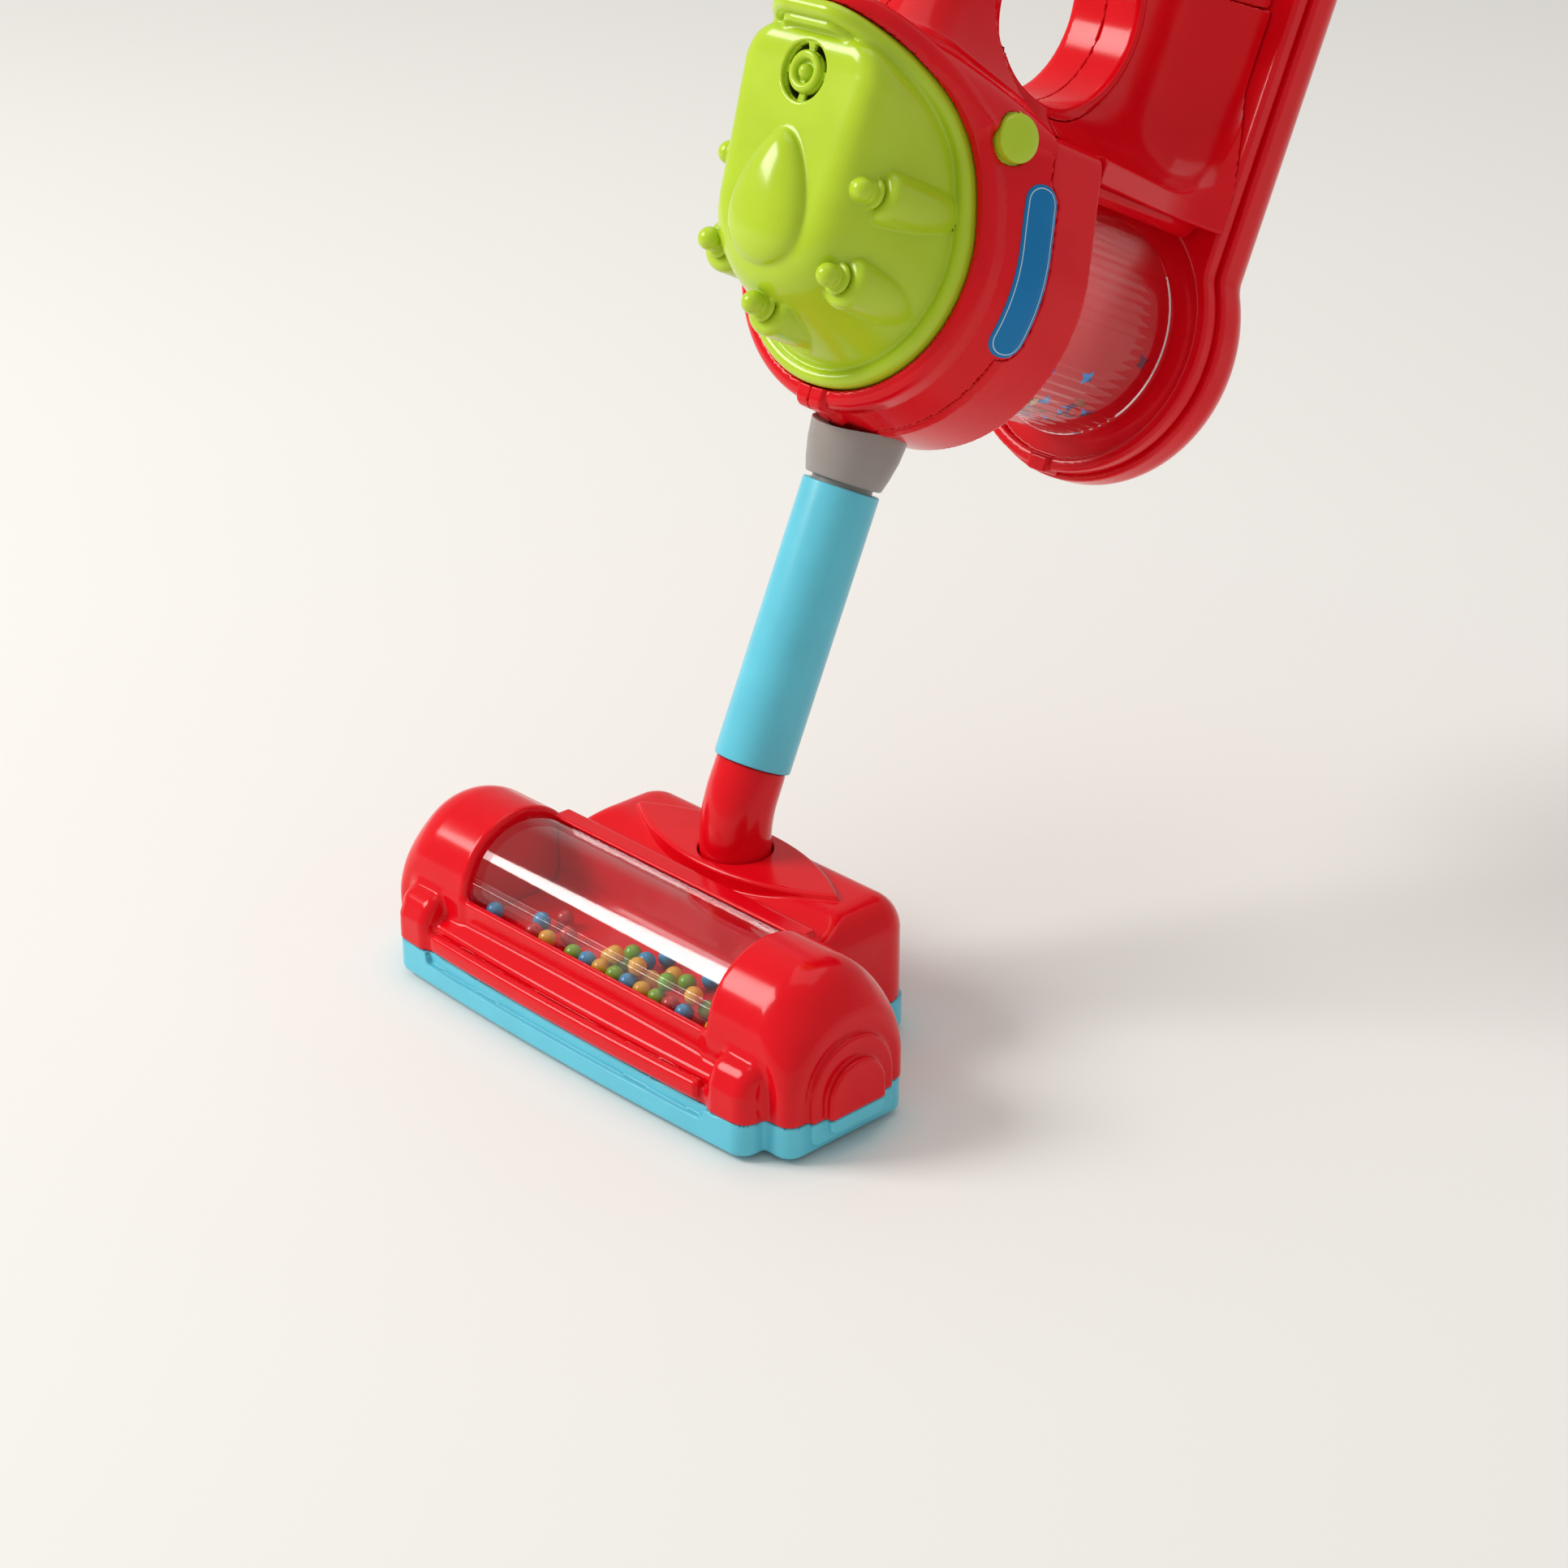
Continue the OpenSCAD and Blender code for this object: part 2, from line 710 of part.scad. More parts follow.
module base_screws() {
    color("silver") for (side = [-1, 1]) translate([side * base_screw_at[0], base_screw_at[1], floor_t]) {
        cylinder(h = screw_head_t, r = screw_head_r);
        cylinder(h = base_h + screw_reach - floor_t - fit, r = screw_r);
    }
}

// The bent red neck that turns in the hump and carries the tube
module neck() {
    up = bend_z - bend_tangent;
    sleeve_s = bend_tangent - wall;
    color(red) difference() {
        union() {
            translate([0, 0, neck_foot_z]) cylinder(h = up - neck_foot_z, r = neck_r);
            translate([0, 0, bearing_z0 - fit - flange_t]) cylinder(h = flange_t, r = flange_r);
            neck_bend(neck_r);
            unit_frame() {
                translate([0, 0, sleeve_s]) cylinder(h = tube_start - fit - sleeve_s, r = neck_r - fit);
                translate([0, 0, sleeve_s]) cylinder(h = tube_start + spigot_l - sleeve_s, r = spigot_r);
            }
        }
        translate([0, 0, neck_foot_z - over]) cylinder(h = up + wall - neck_foot_z + over, r = neck_bore_r);
        neck_bend(neck_bore_r + fit);
        unit_frame() translate([0, 0, sleeve_s]) cylinder(h = tube_start + spigot_l, r = neck_bore_r);
    }
}

module neck_bend(r) {
    translate([0, neck_bend_r, bend_z - bend_tangent]) rotate([0, -90, 0]) rotate([0, 0, -90])
        rotate_extrude(angle = lean) translate([neck_bend_r, 0]) circle(r);
}

// The light blue tube
module wand_tube() {
    color(sky) unit_frame() translate([0, 0, tube_start]) difference() {
        cylinder(h = tube_l, r = tube_r);
        translate([0, 0, -over]) cylinder(h = tube_l + 2 * over, r = tube_bore / 2);
    }
}

// Outlines as circles with common tangents, and the solids swept between them
function reach(c, a) = c[0] * cos(a) + c[1] * sin(a) + c[2];
function furthest(cs, a, i = 0, b = 0) =
    i == len(cs) ? cs[b] : furthest(cs, a, i + 1, reach(cs[i], a) > reach(cs[b], a) ? i : b);
function outline_at(cs, a, off) = let (c = furthest(cs, a)) [
    (a == 90 ? 0 : c[0]) + (c[2] + off) * cos(a),
    c[1] + (c[2] + off) * sin(a)];
function rim_fore(v) = rim_lead * pow(max(v, 0) / rim_top_v, rim_bend);
function on_rim(cs, a, off, z) = let (p = outline_at(cs, a, off)) [
    p[0],
    face_d - rim_fore(outline_at(cs, a, 0)[1]) - z,
    axis_s + p[1]];
function on_slab(p, d) = [p[0], d, axis_s + p[1]];
function mix(p, q, t) = p * (1 - t) + q * t;
function right_only(cs) = [for (c = cs) if (c[0] >= 0) c];
function rim_at(a, off, z) = on_rim(right_only(rim_circles), a, off, z);
function body_at(a, off, d) = on_slab(outline_at(right_only(body_circles), a, off), d);
function on_half(p) = [max(p[0], fit / 2), p[1], p[2]];

module outline(cs, off) {
    polygon([for (k = [0 : 4 * half_steps - 1]) outline_at(cs, 90 * k / half_steps, off)]);
}

module body_prism(d0, d1, off) {
    slab(d0, d1) outline(body_circles, off);
}

// A closed band whose cross-section runs through the list of sections; caps are the triangles of an end
module band(sections, caps) {
    n = len(sections);
    m = len(sections[0]);
    sides = [for (i = [0 : n - 2], j = [0 : m - 1]) let (a = i * m + j, b = i * m + (j + 1) % m)
        each [[a, a + m, b], [b, a + m, b + m]]];
    last = (n - 1) * m;
    ends = [for (c = caps) each [c, [last + c[2], last + c[1], last + c[0]]]];
    polyhedron([for (q = sections) each q], concat(sides, ends));
}

// The front housing on one side: lip, ledge of the cover and side wall back to the seam
function side_at(a, off, t) = mix(body_at(a, off, seam_d - fit), rim_at(a, lip_w + off, -lip_t), t);

function lip_section(a) = concat(
    [rim_at(a, lip_w - lip_round, 0), rim_at(a, lip_w, -lip_round)],
    [for (t = side_shares) side_at(a, 0, t)],
    [body_at(a, -wall, seam_d - fit),
    rim_at(a, -ledge_w, -lip_t),
    rim_at(a, -ledge_w, -cover_flange_t - ledge_gap),
    rim_at(a, fit, -cover_flange_t - ledge_gap),
    rim_at(a, fit, 0)]);

module side_band() {
    band([for (k = [0 : half_steps]) [for (p = lip_section(180 * k / half_steps - 90)) on_half(p)]], lip_caps);
}

// The grey tapered collar whose stem is clamped in the housing
module collar() {
    seat_s = axis_s - body_r;
    rise = collar_top_r - collar_bottom_r;
    top_s = seat_s + collar_saddle;
    color(grey) unit_frame() difference() {
        union() {
            difference() {
                rotate_extrude() polygon(concat(
                    [[0, collar_s]],
                    [for (t = collar_taper_shares) [collar_bottom_r + rise * t[1], collar_s + (top_s - collar_s) * t[0]]],
                    [[0, top_s]]));
                d_rod(-2 * collar_top_r, 2 * collar_top_r, body_r + fit);
            }
            translate([0, 0, collar_s + over]) cylinder(h = seat_s + stem_up - collar_s - over, r = stem_r);
            translate([0, 0, seat_s + stem_up - stem_flange_t]) cylinder(h = stem_flange_t, r = stem_flange_r);
            translate([0, 0, tube_end - spigot_l]) cylinder(h = spigot_l + collar_gap + over, r = spigot_r);
        }
        translate([0, 0, tube_end - spigot_l - over]) cylinder(h = axis_s, r = neck_bore_r);
    }
}

module collar_port() {
    translate([0, 0, collar_s]) cylinder(h = axis_s - body_r + stem_up - collar_s, r = stem_r + fit);
}

// Handle loop with its leg, in exact prisms
module grip_opening(grow) {
    translate([0, grip_hole_d, axis_s + grip_hole_up]) rotate([0, 90, 0])
        translate([0, 0, -2 * body_r]) cylinder(h = 4 * body_r, r = grip_hole_r + grow);
}

module loop_prism(off) {
    side_slab(loop_half_w + off)
        rounded_rect(loop_front_d - off, panel_d - fit + off, shoulder_up + fit - off, loop_up + off, loop_corner_r + off);
}

module leg_prism(off) {
    low = shoulder_up - leg_sink - off;
    top = leg_top_up + off;
    intersection() {
        slab(leg_foot_d - off, rear_edge_d + off) polygon([
            [-shoulder_half_w - off, low], [shoulder_half_w + off, low],
            [shoulder_half_w + off, shoulder_up], [loop_half_w + off, top],
            [-loop_half_w - off, top], [-shoulder_half_w - off, shoulder_up]]);
        side_slab(2 * body_r) polygon([
            [leg_foot_d - off, low], [seam_d - fit + off, low], [seam_d - fit + off, shoulder_up + fit - off],
            [rear_edge_d + off, shoulder_up + fit - off], [rear_edge_d + off, top],
            [loop_front_d - off, top], [leg_foot_d - off, shoulder_up]]);
        linear_extrude(axis_s + 2 * top) polygon([
            [-shoulder_half_w - off, rear_edge_d + off], [-shoulder_half_w - off, seam_d],
            [-leg_foot_half_w - off, leg_foot_d - off], [leg_foot_half_w + off, leg_foot_d - off],
            [shoulder_half_w + off, seam_d], [shoulder_half_w + off, rear_edge_d + off]]);
    }
}

module handle_solid() {
    difference() {
        union() {
            leg_prism(0);
            loop_prism(0);
        }
        difference() {
            union() {
                leg_prism(-wall);
                loop_prism(-wall);
            }
            grip_opening(wall);
            for (p = housing_screws_at) translate([0, p[0], axis_s + p[1]]) axis_rod(-loop_half_w, loop_half_w, screw_post_r);
        }
        grip_opening(0);
        body_prism(seam_d - fit, rear_edge_d + fit, fit);
    }
}

module screw_bores() {
    for (p = housing_screws_at) translate([0, p[0], axis_s + p[1]]) {
        axis_rod(-loop_half_w - over, screw_reach, screw_r + run_fit);
        axis_rod(-loop_half_w - over, -loop_half_w + screw_head_t, screw_head_r + fit);
    }
}

// The handle on one side of the parting plane
module handle_half() {
    big = 2 * (loop_up + axis_s);
    intersection() {
        handle_solid();
        translate([fit / 2, -big / 2, 0]) cube(big);
    }
}

module left_housing() {
    color(red) unit_frame() difference() {
        mirror([1, 0, 0]) union() {
            side_band();
            handle_half();
        }
        collar_port();
        screw_bores();
    }
}

module right_housing() {
    color(red) unit_frame() difference() {
        union() {
            side_band();
            difference() {
                handle_half();
                button_frame() board_pocket();
            }
            button_frame() board_posts();
        }
        collar_port();
        screw_bores();
        button_frame() button_port();
    }
}

module housing_screws() {
    color("silver") unit_frame() for (p = housing_screws_at) translate([0, p[0], axis_s + p[1]]) {
        axis_rod(-loop_half_w + screw_head_t - fit, screw_reach - fit, screw_r);
        axis_rod(-loop_half_w, -loop_half_w + screw_head_t - fit, screw_head_r);
    }
}

// The band behind the seam with the wall that carries motor and drum
module rear_housing() {
    color(red) unit_frame() difference() {
        union() {
            difference() {
                body_prism(seam_d, rear_edge_d, 0);
                body_prism(seam_d - over, back_wall_d, -wall);
                body_prism(back_wall_d + back_wall_t, rear_edge_d + over, -wall);
            }
            d_rod(back_wall_d - motor_ring_l, back_wall_d + over, motor_r + motor_ring_t);
        }
        d_rod(back_wall_d - motor_ring_l - over, back_wall_d, motor_r + run_fit);
        d_rod(back_wall_d - over, back_wall_d + back_wall_t + over, shaft_port_r);
        collar_port();
    }
}

// The lime front cover with nose, egg, grille and cones
function cover_angles() = [for (k = [0 : cover_steps - 1]) 360 * k / cover_steps];
function rim_ring(off, z) = [for (a = cover_angles()) on_rim(rim_circles, a, off, z)];
function nose_ring(off, d) = [for (a = cover_angles()) on_slab(outline_at(nose_circles, a, off), d)];
function mix_ring(r, q, t) = [for (k = [0 : len(r) - 1]) mix(r[k], q[k], t)];

// A solid between the first ring and the last
module loft(rings) {
    n = len(rings);
    m = len(rings[0]);
    sides = [for (i = [0 : n - 2], j = [0 : m - 1]) let (a = i * m + j, b = i * m + (j + 1) % m)
        each [[a, a + m, b], [b, a + m, b + m]]];
    ends = [[for (j = [0 : m - 1]) j], [for (j = [0 : m - 1]) n * m - 1 - j]];
    polyhedron([for (q = rings) each q], concat(sides, ends));
}

module cover_solid() {
    border = rim_ring(-flange_in, 0);
    edge = nose_ring(0, -nose_d + nose_round);
    loft(concat(
        [rim_ring(-flange_in - cover_wall - over, -cover_flange_t)],
        [rim_ring(0, -cover_flange_t), rim_ring(0, 0), border],
        [for (t = flank_shares) mix_ring(border, edge, t)],
        [edge, nose_ring(-nose_round, -nose_d)]));
}

module cover_hollow() {
    border = rim_ring(-flange_in - cover_wall, -cover_wall);
    edge = nose_ring(-cover_wall, -nose_d + nose_round + cover_wall);
    loft(concat(
        [rim_ring(-flange_in - cover_wall, -cover_flange_t - over), border],
        [for (t = flank_shares) mix_ring(border, edge, t)],
        [edge, nose_ring(-nose_round - cover_wall, -nose_d + cover_wall)]));
}

function egg_ring(size, d) = [for (k = [0 : egg_steps - 1])
    let (p = outline_at(egg_circles, 360 * k / egg_steps, 0) * size) on_slab([p[0], p[1] + egg_up], d)];

module egg() {
    loft(concat(
        [egg_ring(1, -nose_d + over)],
        [for (t = egg_turn_shares) egg_ring(cos(90 * t), -nose_d - egg_h * sin(90 * t))]));
}

module cone(angle) {
    ls = cone_profile_ls;
    translate([cone_ring_r * cos(angle), -cone_ball_d, axis_s + cone_up + cone_ring_r * sin(angle)]) {
        sphere(cone_ball_r, $fn = 32);
        rotate([-90, 0, 0]) {
            translate([0, 0, ls[0]]) cylinder(h = ls[1], r = cone_neck_r);
            translate([0, 0, ls[1]]) cylinder(h = ls[2], r = cone_step_r);
            translate([0, 0, ls[2]]) cylinder(h = ls[3] - ls[2], r1 = cone_step_r, r2 = cone_body_r);
            translate([0, 0, ls[3]]) cylinder(h = cone_body_l, r = cone_body_r);
        }
    }
}

module behind_rim() {
    big = 4 * body_r;
    translate([-big / 2, face_d + cover_flange_t / 2, axis_s - big / 2]) cube(big);
}

module grille_cuts() {
    deep = over + 2 * cover_wall;
    translate([0, -nose_d - over, grille_s]) rotate([-90, 0, 0]) {
        cylinder(h = over + grille_depth, r = grille_r);
        for (rr = grille_slot_rs) difference() {
            cylinder(h = deep, r = rr[0]);
            translate([0, 0, -over]) cylinder(h = deep + 2 * over, r = rr[1]);
            for (a = [0, 90]) rotate([0, 0, a]) translate([-grille_r, -grille_bar / 2, -over])
                cube([2 * grille_r, grille_bar, deep + 2 * over]);
        }
    }
}

module front_cover() {
    color(lime) unit_frame() {
        difference() {
            cover_solid();
            cover_hollow();
            grille_cuts();
        }
        egg();
        difference() {
            for (a = cone_angles) cone(a);
            cover_hollow();
            behind_rim();
        }
    }
}

// Speaker behind the grille
module speaker() {
    color("dimgray") unit_frame() translate([0, -nose_d + cover_wall + fit, grille_s]) rotate([-90, 0, 0]) {
        cylinder(h = speaker_rim_t, r = speaker_r);
        cylinder(h = speaker_l, r = speaker_magnet_r);
    }
}

// Side button with its flange, the board behind it and the switch on the board
module button_frame() {
    translate([button_x, button_dd, axis_s + button_up]) rotate([0, 0, button_yaw]) rotate([0, 90 - button_pitch, 0])
        children();
}

module button_port() {
    r = button_d / 2 + free_gap;
    translate([0, 0, -2 * button_depth]) cylinder(h = 4 * button_depth, r = r);
    translate([0, 0, -2 * button_depth])
        cylinder(h = button_depth + button_flange_t + free_gap, r = r + button_flange);
}

module board_pocket() {
    translate([-board_h / 2 - over, -board_w / 2 - over, -board_back - board_t - over])
        cube([board_h + 2 * over, board_w + 2 * over, board_back + board_t]);
}

module side_button() {
    r = button_d / 2;
    crown = (r * r + button_proud * button_proud) / (2 * button_proud);
    stem_low = -board_back + switch_h + button_travel + free_gap;
    color(lime) unit_frame() button_frame() {
        translate([0, 0, -button_depth]) cylinder(h = button_depth, r = r);
        translate([0, 0, -button_depth]) cylinder(h = button_flange_t, r = r + button_flange);
        intersection() {
            translate([0, 0, button_proud - crown]) sphere(crown, $fn = 96);
            translate([0, 0, -over]) cylinder(h = button_proud + 2 * over, r = r);
        }
        translate([0, 0, stem_low]) cylinder(h = -button_depth - stem_low + over, r = post_r);
    }
}

module circuit_board() {
    color("darkgreen") unit_frame() button_frame() translate([-board_h / 2, -board_w / 2, -board_back - board_t])
        cube([board_h, board_w, board_t]);
}

module switch() {
    color("black") unit_frame() button_frame() translate([-switch_w / 2, -switch_w / 2, -board_back])
        cube([switch_w, switch_w, switch_h]);
}

module board_posts() {
    for (side = [-1, 1]) translate([0, side * (board_w / 2 - post_r), -board_back])
        cylinder(h = board_back - wall / 2, r = post_r);
}

// A bare blue label that follows the side of the housing
function label_section(a) = concat(
    [for (t = side_shares) side_at(a, fit, t)],
    [for (i = [len(side_shares) - 1 : -1 : 0]) side_at(a, fit + label_t, side_shares[i])]);

module label_plan() {
    r = label_w / 2;
    translate([label_back_d - r, label_low + r]) {
        circle(r);
        translate([-r, 0]) square([label_w, label_high - label_low - label_w]);
        translate([0, label_high - label_low - label_w]) circle(r);
    }
}

module side_label() {
    color("#1f7fc0") unit_frame() intersection() {
        band([for (k = label_steps) label_section(180 * k / half_steps - 90)], label_caps);
        translate([body_r / 3, 0, axis_s]) rotate([90, 0, 90]) linear_extrude(body_r) label_plan();
    }
}

// Motor, fan and shaft on the axis of the drum
module motor() {
    color("silver") unit_frame() difference() {
        union() {
            d_rod(back_wall_d - fit - motor_l, back_wall_d - fit, motor_r);
            d_rod(back_wall_d - fit - over, back_wall_d + back_wall_t / 2, motor_boss_r);
        }
        d_rod(back_wall_d - fit - motor_l - over, drum_front, shaft_r + run_fit);
    }
}

module motor_shaft() {
    color("lightgrey") unit_frame() d_rod(back_wall_d - motor_l + over, fan_d0 + fan_hub_l - over, shaft_r);
}

module fan() {
    color("white") unit_frame() difference() {
        union() {
            d_rod(fan_d0, fan_d0 + fan_hub_l, fan_hub_r);
            for (i = [0 : fan_blades - 1]) translate([0, fan_d0 + fan_hub_l / 2, axis_s]) rotate([0, i * 360 / fan_blades, 0])
                translate([fan_hub_r - over, 0, 0]) rotate([fan_blade_turn, 0, 0])
                    translate([0, -fan_hub_l / 2 + over, -fan_blade_t / 2])
                        cube([fan_r - fan_hub_r + over, fan_hub_l - 2 * over, fan_blade_t]);
        }
        d_rod(fan_d0 - over, fan_d0 + fan_hub_l + over, shaft_r);
    }
}

// Clear drum and the confetti lying in it
module drum() {
    color(clear) unit_frame() difference() {
        d_rod(drum_front, drum_back, drum_r);
        d_rod(drum_front - over, drum_back + over, drum_r - drum_wall);
    }
}

module confetti(k) {
    colours = ["#2f7fd0", "#c9a227", "#7a3fb0"];
    color(colours[k]) unit_frame() for (i = [0 : flake_count - 1]) {
        place = flake_first_share + (1 - flake_first_share) * (2 * i + 1) / (2 * flake_count);
        turn = (k - 1) * flake_fan + flake_wander * sin((3 * i + k) * flake_stir);
        translate([0, drum_front + drum_l * place, axis_s]) rotate([0, 180 + turn, 0])
            translate([0, 0, drum_r - drum_wall - fit - flake_t - flake_l * flake_l / (8 * drum_r)])
                linear_extrude(flake_t) polygon([[flake_l / 2, 0], [0, flake_w / 2], [-flake_l / 2, 0], [0, -flake_w / 2]]);
    }
}

module confetti_blue() { confetti(0); }
module confetti_gold() { confetti(1); }
module confetti_purple() { confetti(2); }

// The bridge over the drum, with the funnel that joins the loop to the rear panel
module bridge() {
    d0 = rear_edge_d + fit;
    d1 = panel_d - fit;
    half = loop_half_w + fit;
    color(red) unit_frame() difference() {
        union() {
            translate([0, 0, axis_s + shoulder_up - bridge_drop]) linear_extrude(bridge_drop) polygon([
                [-shoulder_half_w, d0], [shoulder_half_w, d0], [bridge_back_half_w, d1], [-bridge_back_half_w, d1]]);
            translate([0, 0, axis_s + shoulder_up - over]) linear_extrude(funnel_up - shoulder_up + over) polygon([
                [-half - wall, funnel_front_d], [half + wall, funnel_front_d],
                [bridge_back_half_w, d1], [-bridge_back_half_w, d1]]);
        }
        translate([-half, 0, axis_s + shoulder_up]) cube([2 * half, d1 + over, funnel_up]);
        grip_opening(0);
    }
}

// Rear panel and the back cover with the battery box
module panel_plan(off) {
    circle(panel_r + off);
    rounded_rect(-panel_half_w - off, panel_half_w + off, 0, panel_up + off, panel_corner_r + off);
}

module rear_panel() {
    color(red) unit_frame() difference() {
        slab(panel_d, panel_d + panel_t) panel_plan(-panel_in);
        slab(panel_d + wall, panel_d + panel_t + over) panel_plan(-panel_in - wall);
    }
}

module cell_box() {
    h = cell_l / 2 + contact_t + 2 * contact_gap;
    w = cell_count * cell_d / 2 + cell_gap * 2;
    translate([-w, -h + cell_up]) square([2 * w, 2 * h]);
}

module door_plan(off) {
    translate([-door_half_w - off, cell_up - door_half_h - off]) square([2 * (door_half_w + off), 2 * (door_half_h + off)]);
}

module back_cover() {
    color(red) unit_frame() difference() {
        slab(back_d, back_end) panel_plan(0);
        difference() {
            slab(back_d - over, back_end - wall) panel_plan(-wall);
            slab(back_d, back_end) difference() {
                door_plan(0);
                cell_box();
            }
        }
        slab(back_end - door_t, back_end + over) door_plan(-door_margin);
        slab(back_d - over, back_end + over) cell_box();
        door_screw_bore();
    }
}

module door_screw_place() {
    translate([0, 0, cell_up + door_half_h - (door_half_h - cell_l / 2) / 2 - door_margin / 2]) children();
}

module door_screw_bore() {
    door_screw_place() d_rod(back_end - screw_reach - fit, back_end + over, screw_r + run_fit);
}

module battery_door() {
    color(red) unit_frame() difference() {
        slab(back_end - door_t + fit / 2, back_end) door_plan(-door_margin - fit);
        door_screw_place() d_rod(back_end - door_t - over, back_end + over, screw_r + fit);
        door_screw_place() d_rod(back_end - screw_head_t / 2, back_end + over, screw_head_r + fit);
    }
}

module door_screw() {
    color("silver") unit_frame() door_screw_place() {
        d_rod(back_end - screw_reach, back_end - fit, screw_r);
        d_rod(back_end - screw_head_t / 2 + fit / 2, back_end, screw_head_r);
    }
}

module batteries() {
    y = back_end - door_t - fit - cell_d / 2;
    color("dimgray") unit_frame() for (i = [0 : cell_count - 1])
        translate([(i - (cell_count - 1) / 2) * (cell_d + cell_gap), y, axis_s + cell_up - cell_l / 2])
            cylinder(h = cell_l, r = cell_d / 2);
}

module battery_contacts() {
    y = back_end - door_t - fit - cell_d;
    color("silver") unit_frame() for (i = [0 : cell_count - 1], end = [-1, 1])
        translate([(i - (cell_count - 1) / 2) * (cell_d + cell_gap) - cell_d / 3, y,
            axis_s + cell_up + end * (cell_l / 2 + contact_gap + contact_t / 2) - contact_t / 2])
                cube([cell_d * 2 / 3, cell_d, contact_t]);
}

base_tray();
head_shell();
window();
bead_tray();
beads_red();
beads_yellow();
beads_blue();
beads_green();
front_axle();
rear_axle();
front_left_wheel();
front_right_wheel();
rear_left_wheel();
rear_right_wheel();
swivel_bearing();
base_screws();
neck();
wand_tube();
collar();
left_housing();
right_housing();
rear_housing();
front_cover();
speaker();
side_button();
circuit_board();
switch();
side_label();
motor();
fan();
motor_shaft();
drum();
confetti_blue();
confetti_gold();
confetti_purple();
bridge();
rear_panel();
back_cover();
battery_door();
batteries();
battery_contacts();
door_screw();
housing_screws();
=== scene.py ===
import json
import math

import bpy
import numpy as np
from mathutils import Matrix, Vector


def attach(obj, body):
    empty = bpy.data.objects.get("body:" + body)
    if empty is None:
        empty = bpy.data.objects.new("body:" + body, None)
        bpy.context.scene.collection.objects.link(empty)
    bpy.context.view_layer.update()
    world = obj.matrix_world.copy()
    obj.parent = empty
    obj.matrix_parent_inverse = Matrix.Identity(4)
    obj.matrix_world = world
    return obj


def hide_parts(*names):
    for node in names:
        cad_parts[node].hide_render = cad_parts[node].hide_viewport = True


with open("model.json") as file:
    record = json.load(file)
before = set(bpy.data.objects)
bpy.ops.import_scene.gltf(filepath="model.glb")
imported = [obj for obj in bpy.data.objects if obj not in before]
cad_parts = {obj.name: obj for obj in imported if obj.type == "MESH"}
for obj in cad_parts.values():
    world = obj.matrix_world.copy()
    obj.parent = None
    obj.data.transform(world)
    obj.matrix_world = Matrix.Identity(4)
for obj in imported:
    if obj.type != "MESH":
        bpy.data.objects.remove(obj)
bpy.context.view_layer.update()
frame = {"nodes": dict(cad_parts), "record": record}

COARSE = 1.0
# The wand leans back above its bend; the drum's axis crosses it AXIS_S along
LEAN = math.radians(25)
CL, SL = math.cos(LEAN), math.sin(LEAN)
BEND_Z = 59.2
BEND_R = 40.0
AXIS_S = 180.0
MM = 0.001

# Steps of the grids that the fields are meshed on
HEAD_STEP, LINER_STEP = 0.85, 0.9
HOUSING_STEP, COVER_STEP, PANEL_STEP, DOOR_STEP = 0.95, 0.62, 1.0, 0.7


# Distance fields, in millimetres

def smin(a, b, k):
    h = np.maximum(k - np.abs(a - b), 0) / k
    return np.minimum(a, b) - h * h * k * 0.25


def smax(a, b, k):
    return -smin(-a, -b, k)


def both(a, b, r):
    """Intersection with an edge rounded to radius r."""
    p, q = a + r, b + r
    return np.minimum(np.maximum(p, q), 0) + np.hypot(np.maximum(p, 0), np.maximum(q, 0)) - r


def rect(x, y, x0, x1, y0, y1, r):
    """Rectangle with its corners rounded to radius r."""
    p = np.abs(x - (x0 + x1) / 2) - (x1 - x0) / 2
    q = np.abs(y - (y0 + y1) / 2) - (y1 - y0) / 2
    return both(p, q, r)


def hull3(ax, y, y0, r0, x1, y1, r1):
    """Outline round a circle on the axis and a pair of circles beside it.

    ax is the distance from the axis.
    """
    dy = y1 - y0
    length = np.sqrt(x1 * x1 + dy * dy)
    c = np.clip((r0 - r1) / length, -1, 1)
    a = np.arctan2(dy, x1) - np.arccos(c)
    nx, ny = np.cos(a), np.sin(a)
    qy = y - y0
    s = -ax * ny + qy * nx
    px, py = ax - x1, y - y1
    far = np.where(px > 0, np.hypot(px, py) - r1, py - r1)
    line = ax * nx + qy * ny - r0
    past = s > length * np.sqrt(1 - c * c)
    return np.where(s < 0, np.hypot(ax, qy) - r0, np.where(past, far, line))


def between(first, second, t):
    """Sizes of an outline a share t of the way from one to another."""
    return [a + (b - a) * t for a, b in zip(first, second)]


def smooth(t):
    t = np.clip(t, 0, 1)
    return t * t * (3 - 2 * t)


# A mesh of the zero surface of a field

CORNERS = np.array([(i, j, k) for i in (0, 1) for j in (0, 1) for k in (0, 1)])
EDGES = [(a, b) for a in range(8) for b in range(a + 1, 8)
         if np.abs(CORNERS[a] - CORNERS[b]).sum() == 1]
BLOCK = 8
NEAR = 2.6
FAR = 99
PASSES = 3


def sample(f, points, chunk=250000):
    out = np.empty(len(points), np.float32)
    for i in range(0, len(points), chunk):
        p = points[i:i + chunk]
        out[i:i + chunk] = f(p[:, 0], p[:, 1], p[:, 2])
    return out


def slope(f, points, e=0.04):
    g = np.empty((len(points), 3), np.float32)
    for i in range(3):
        step = np.zeros(3, np.float32)
        step[i] = e
        g[:, i] = (sample(f, points + step) - sample(f, points - step)) / (2 * e)
    return g


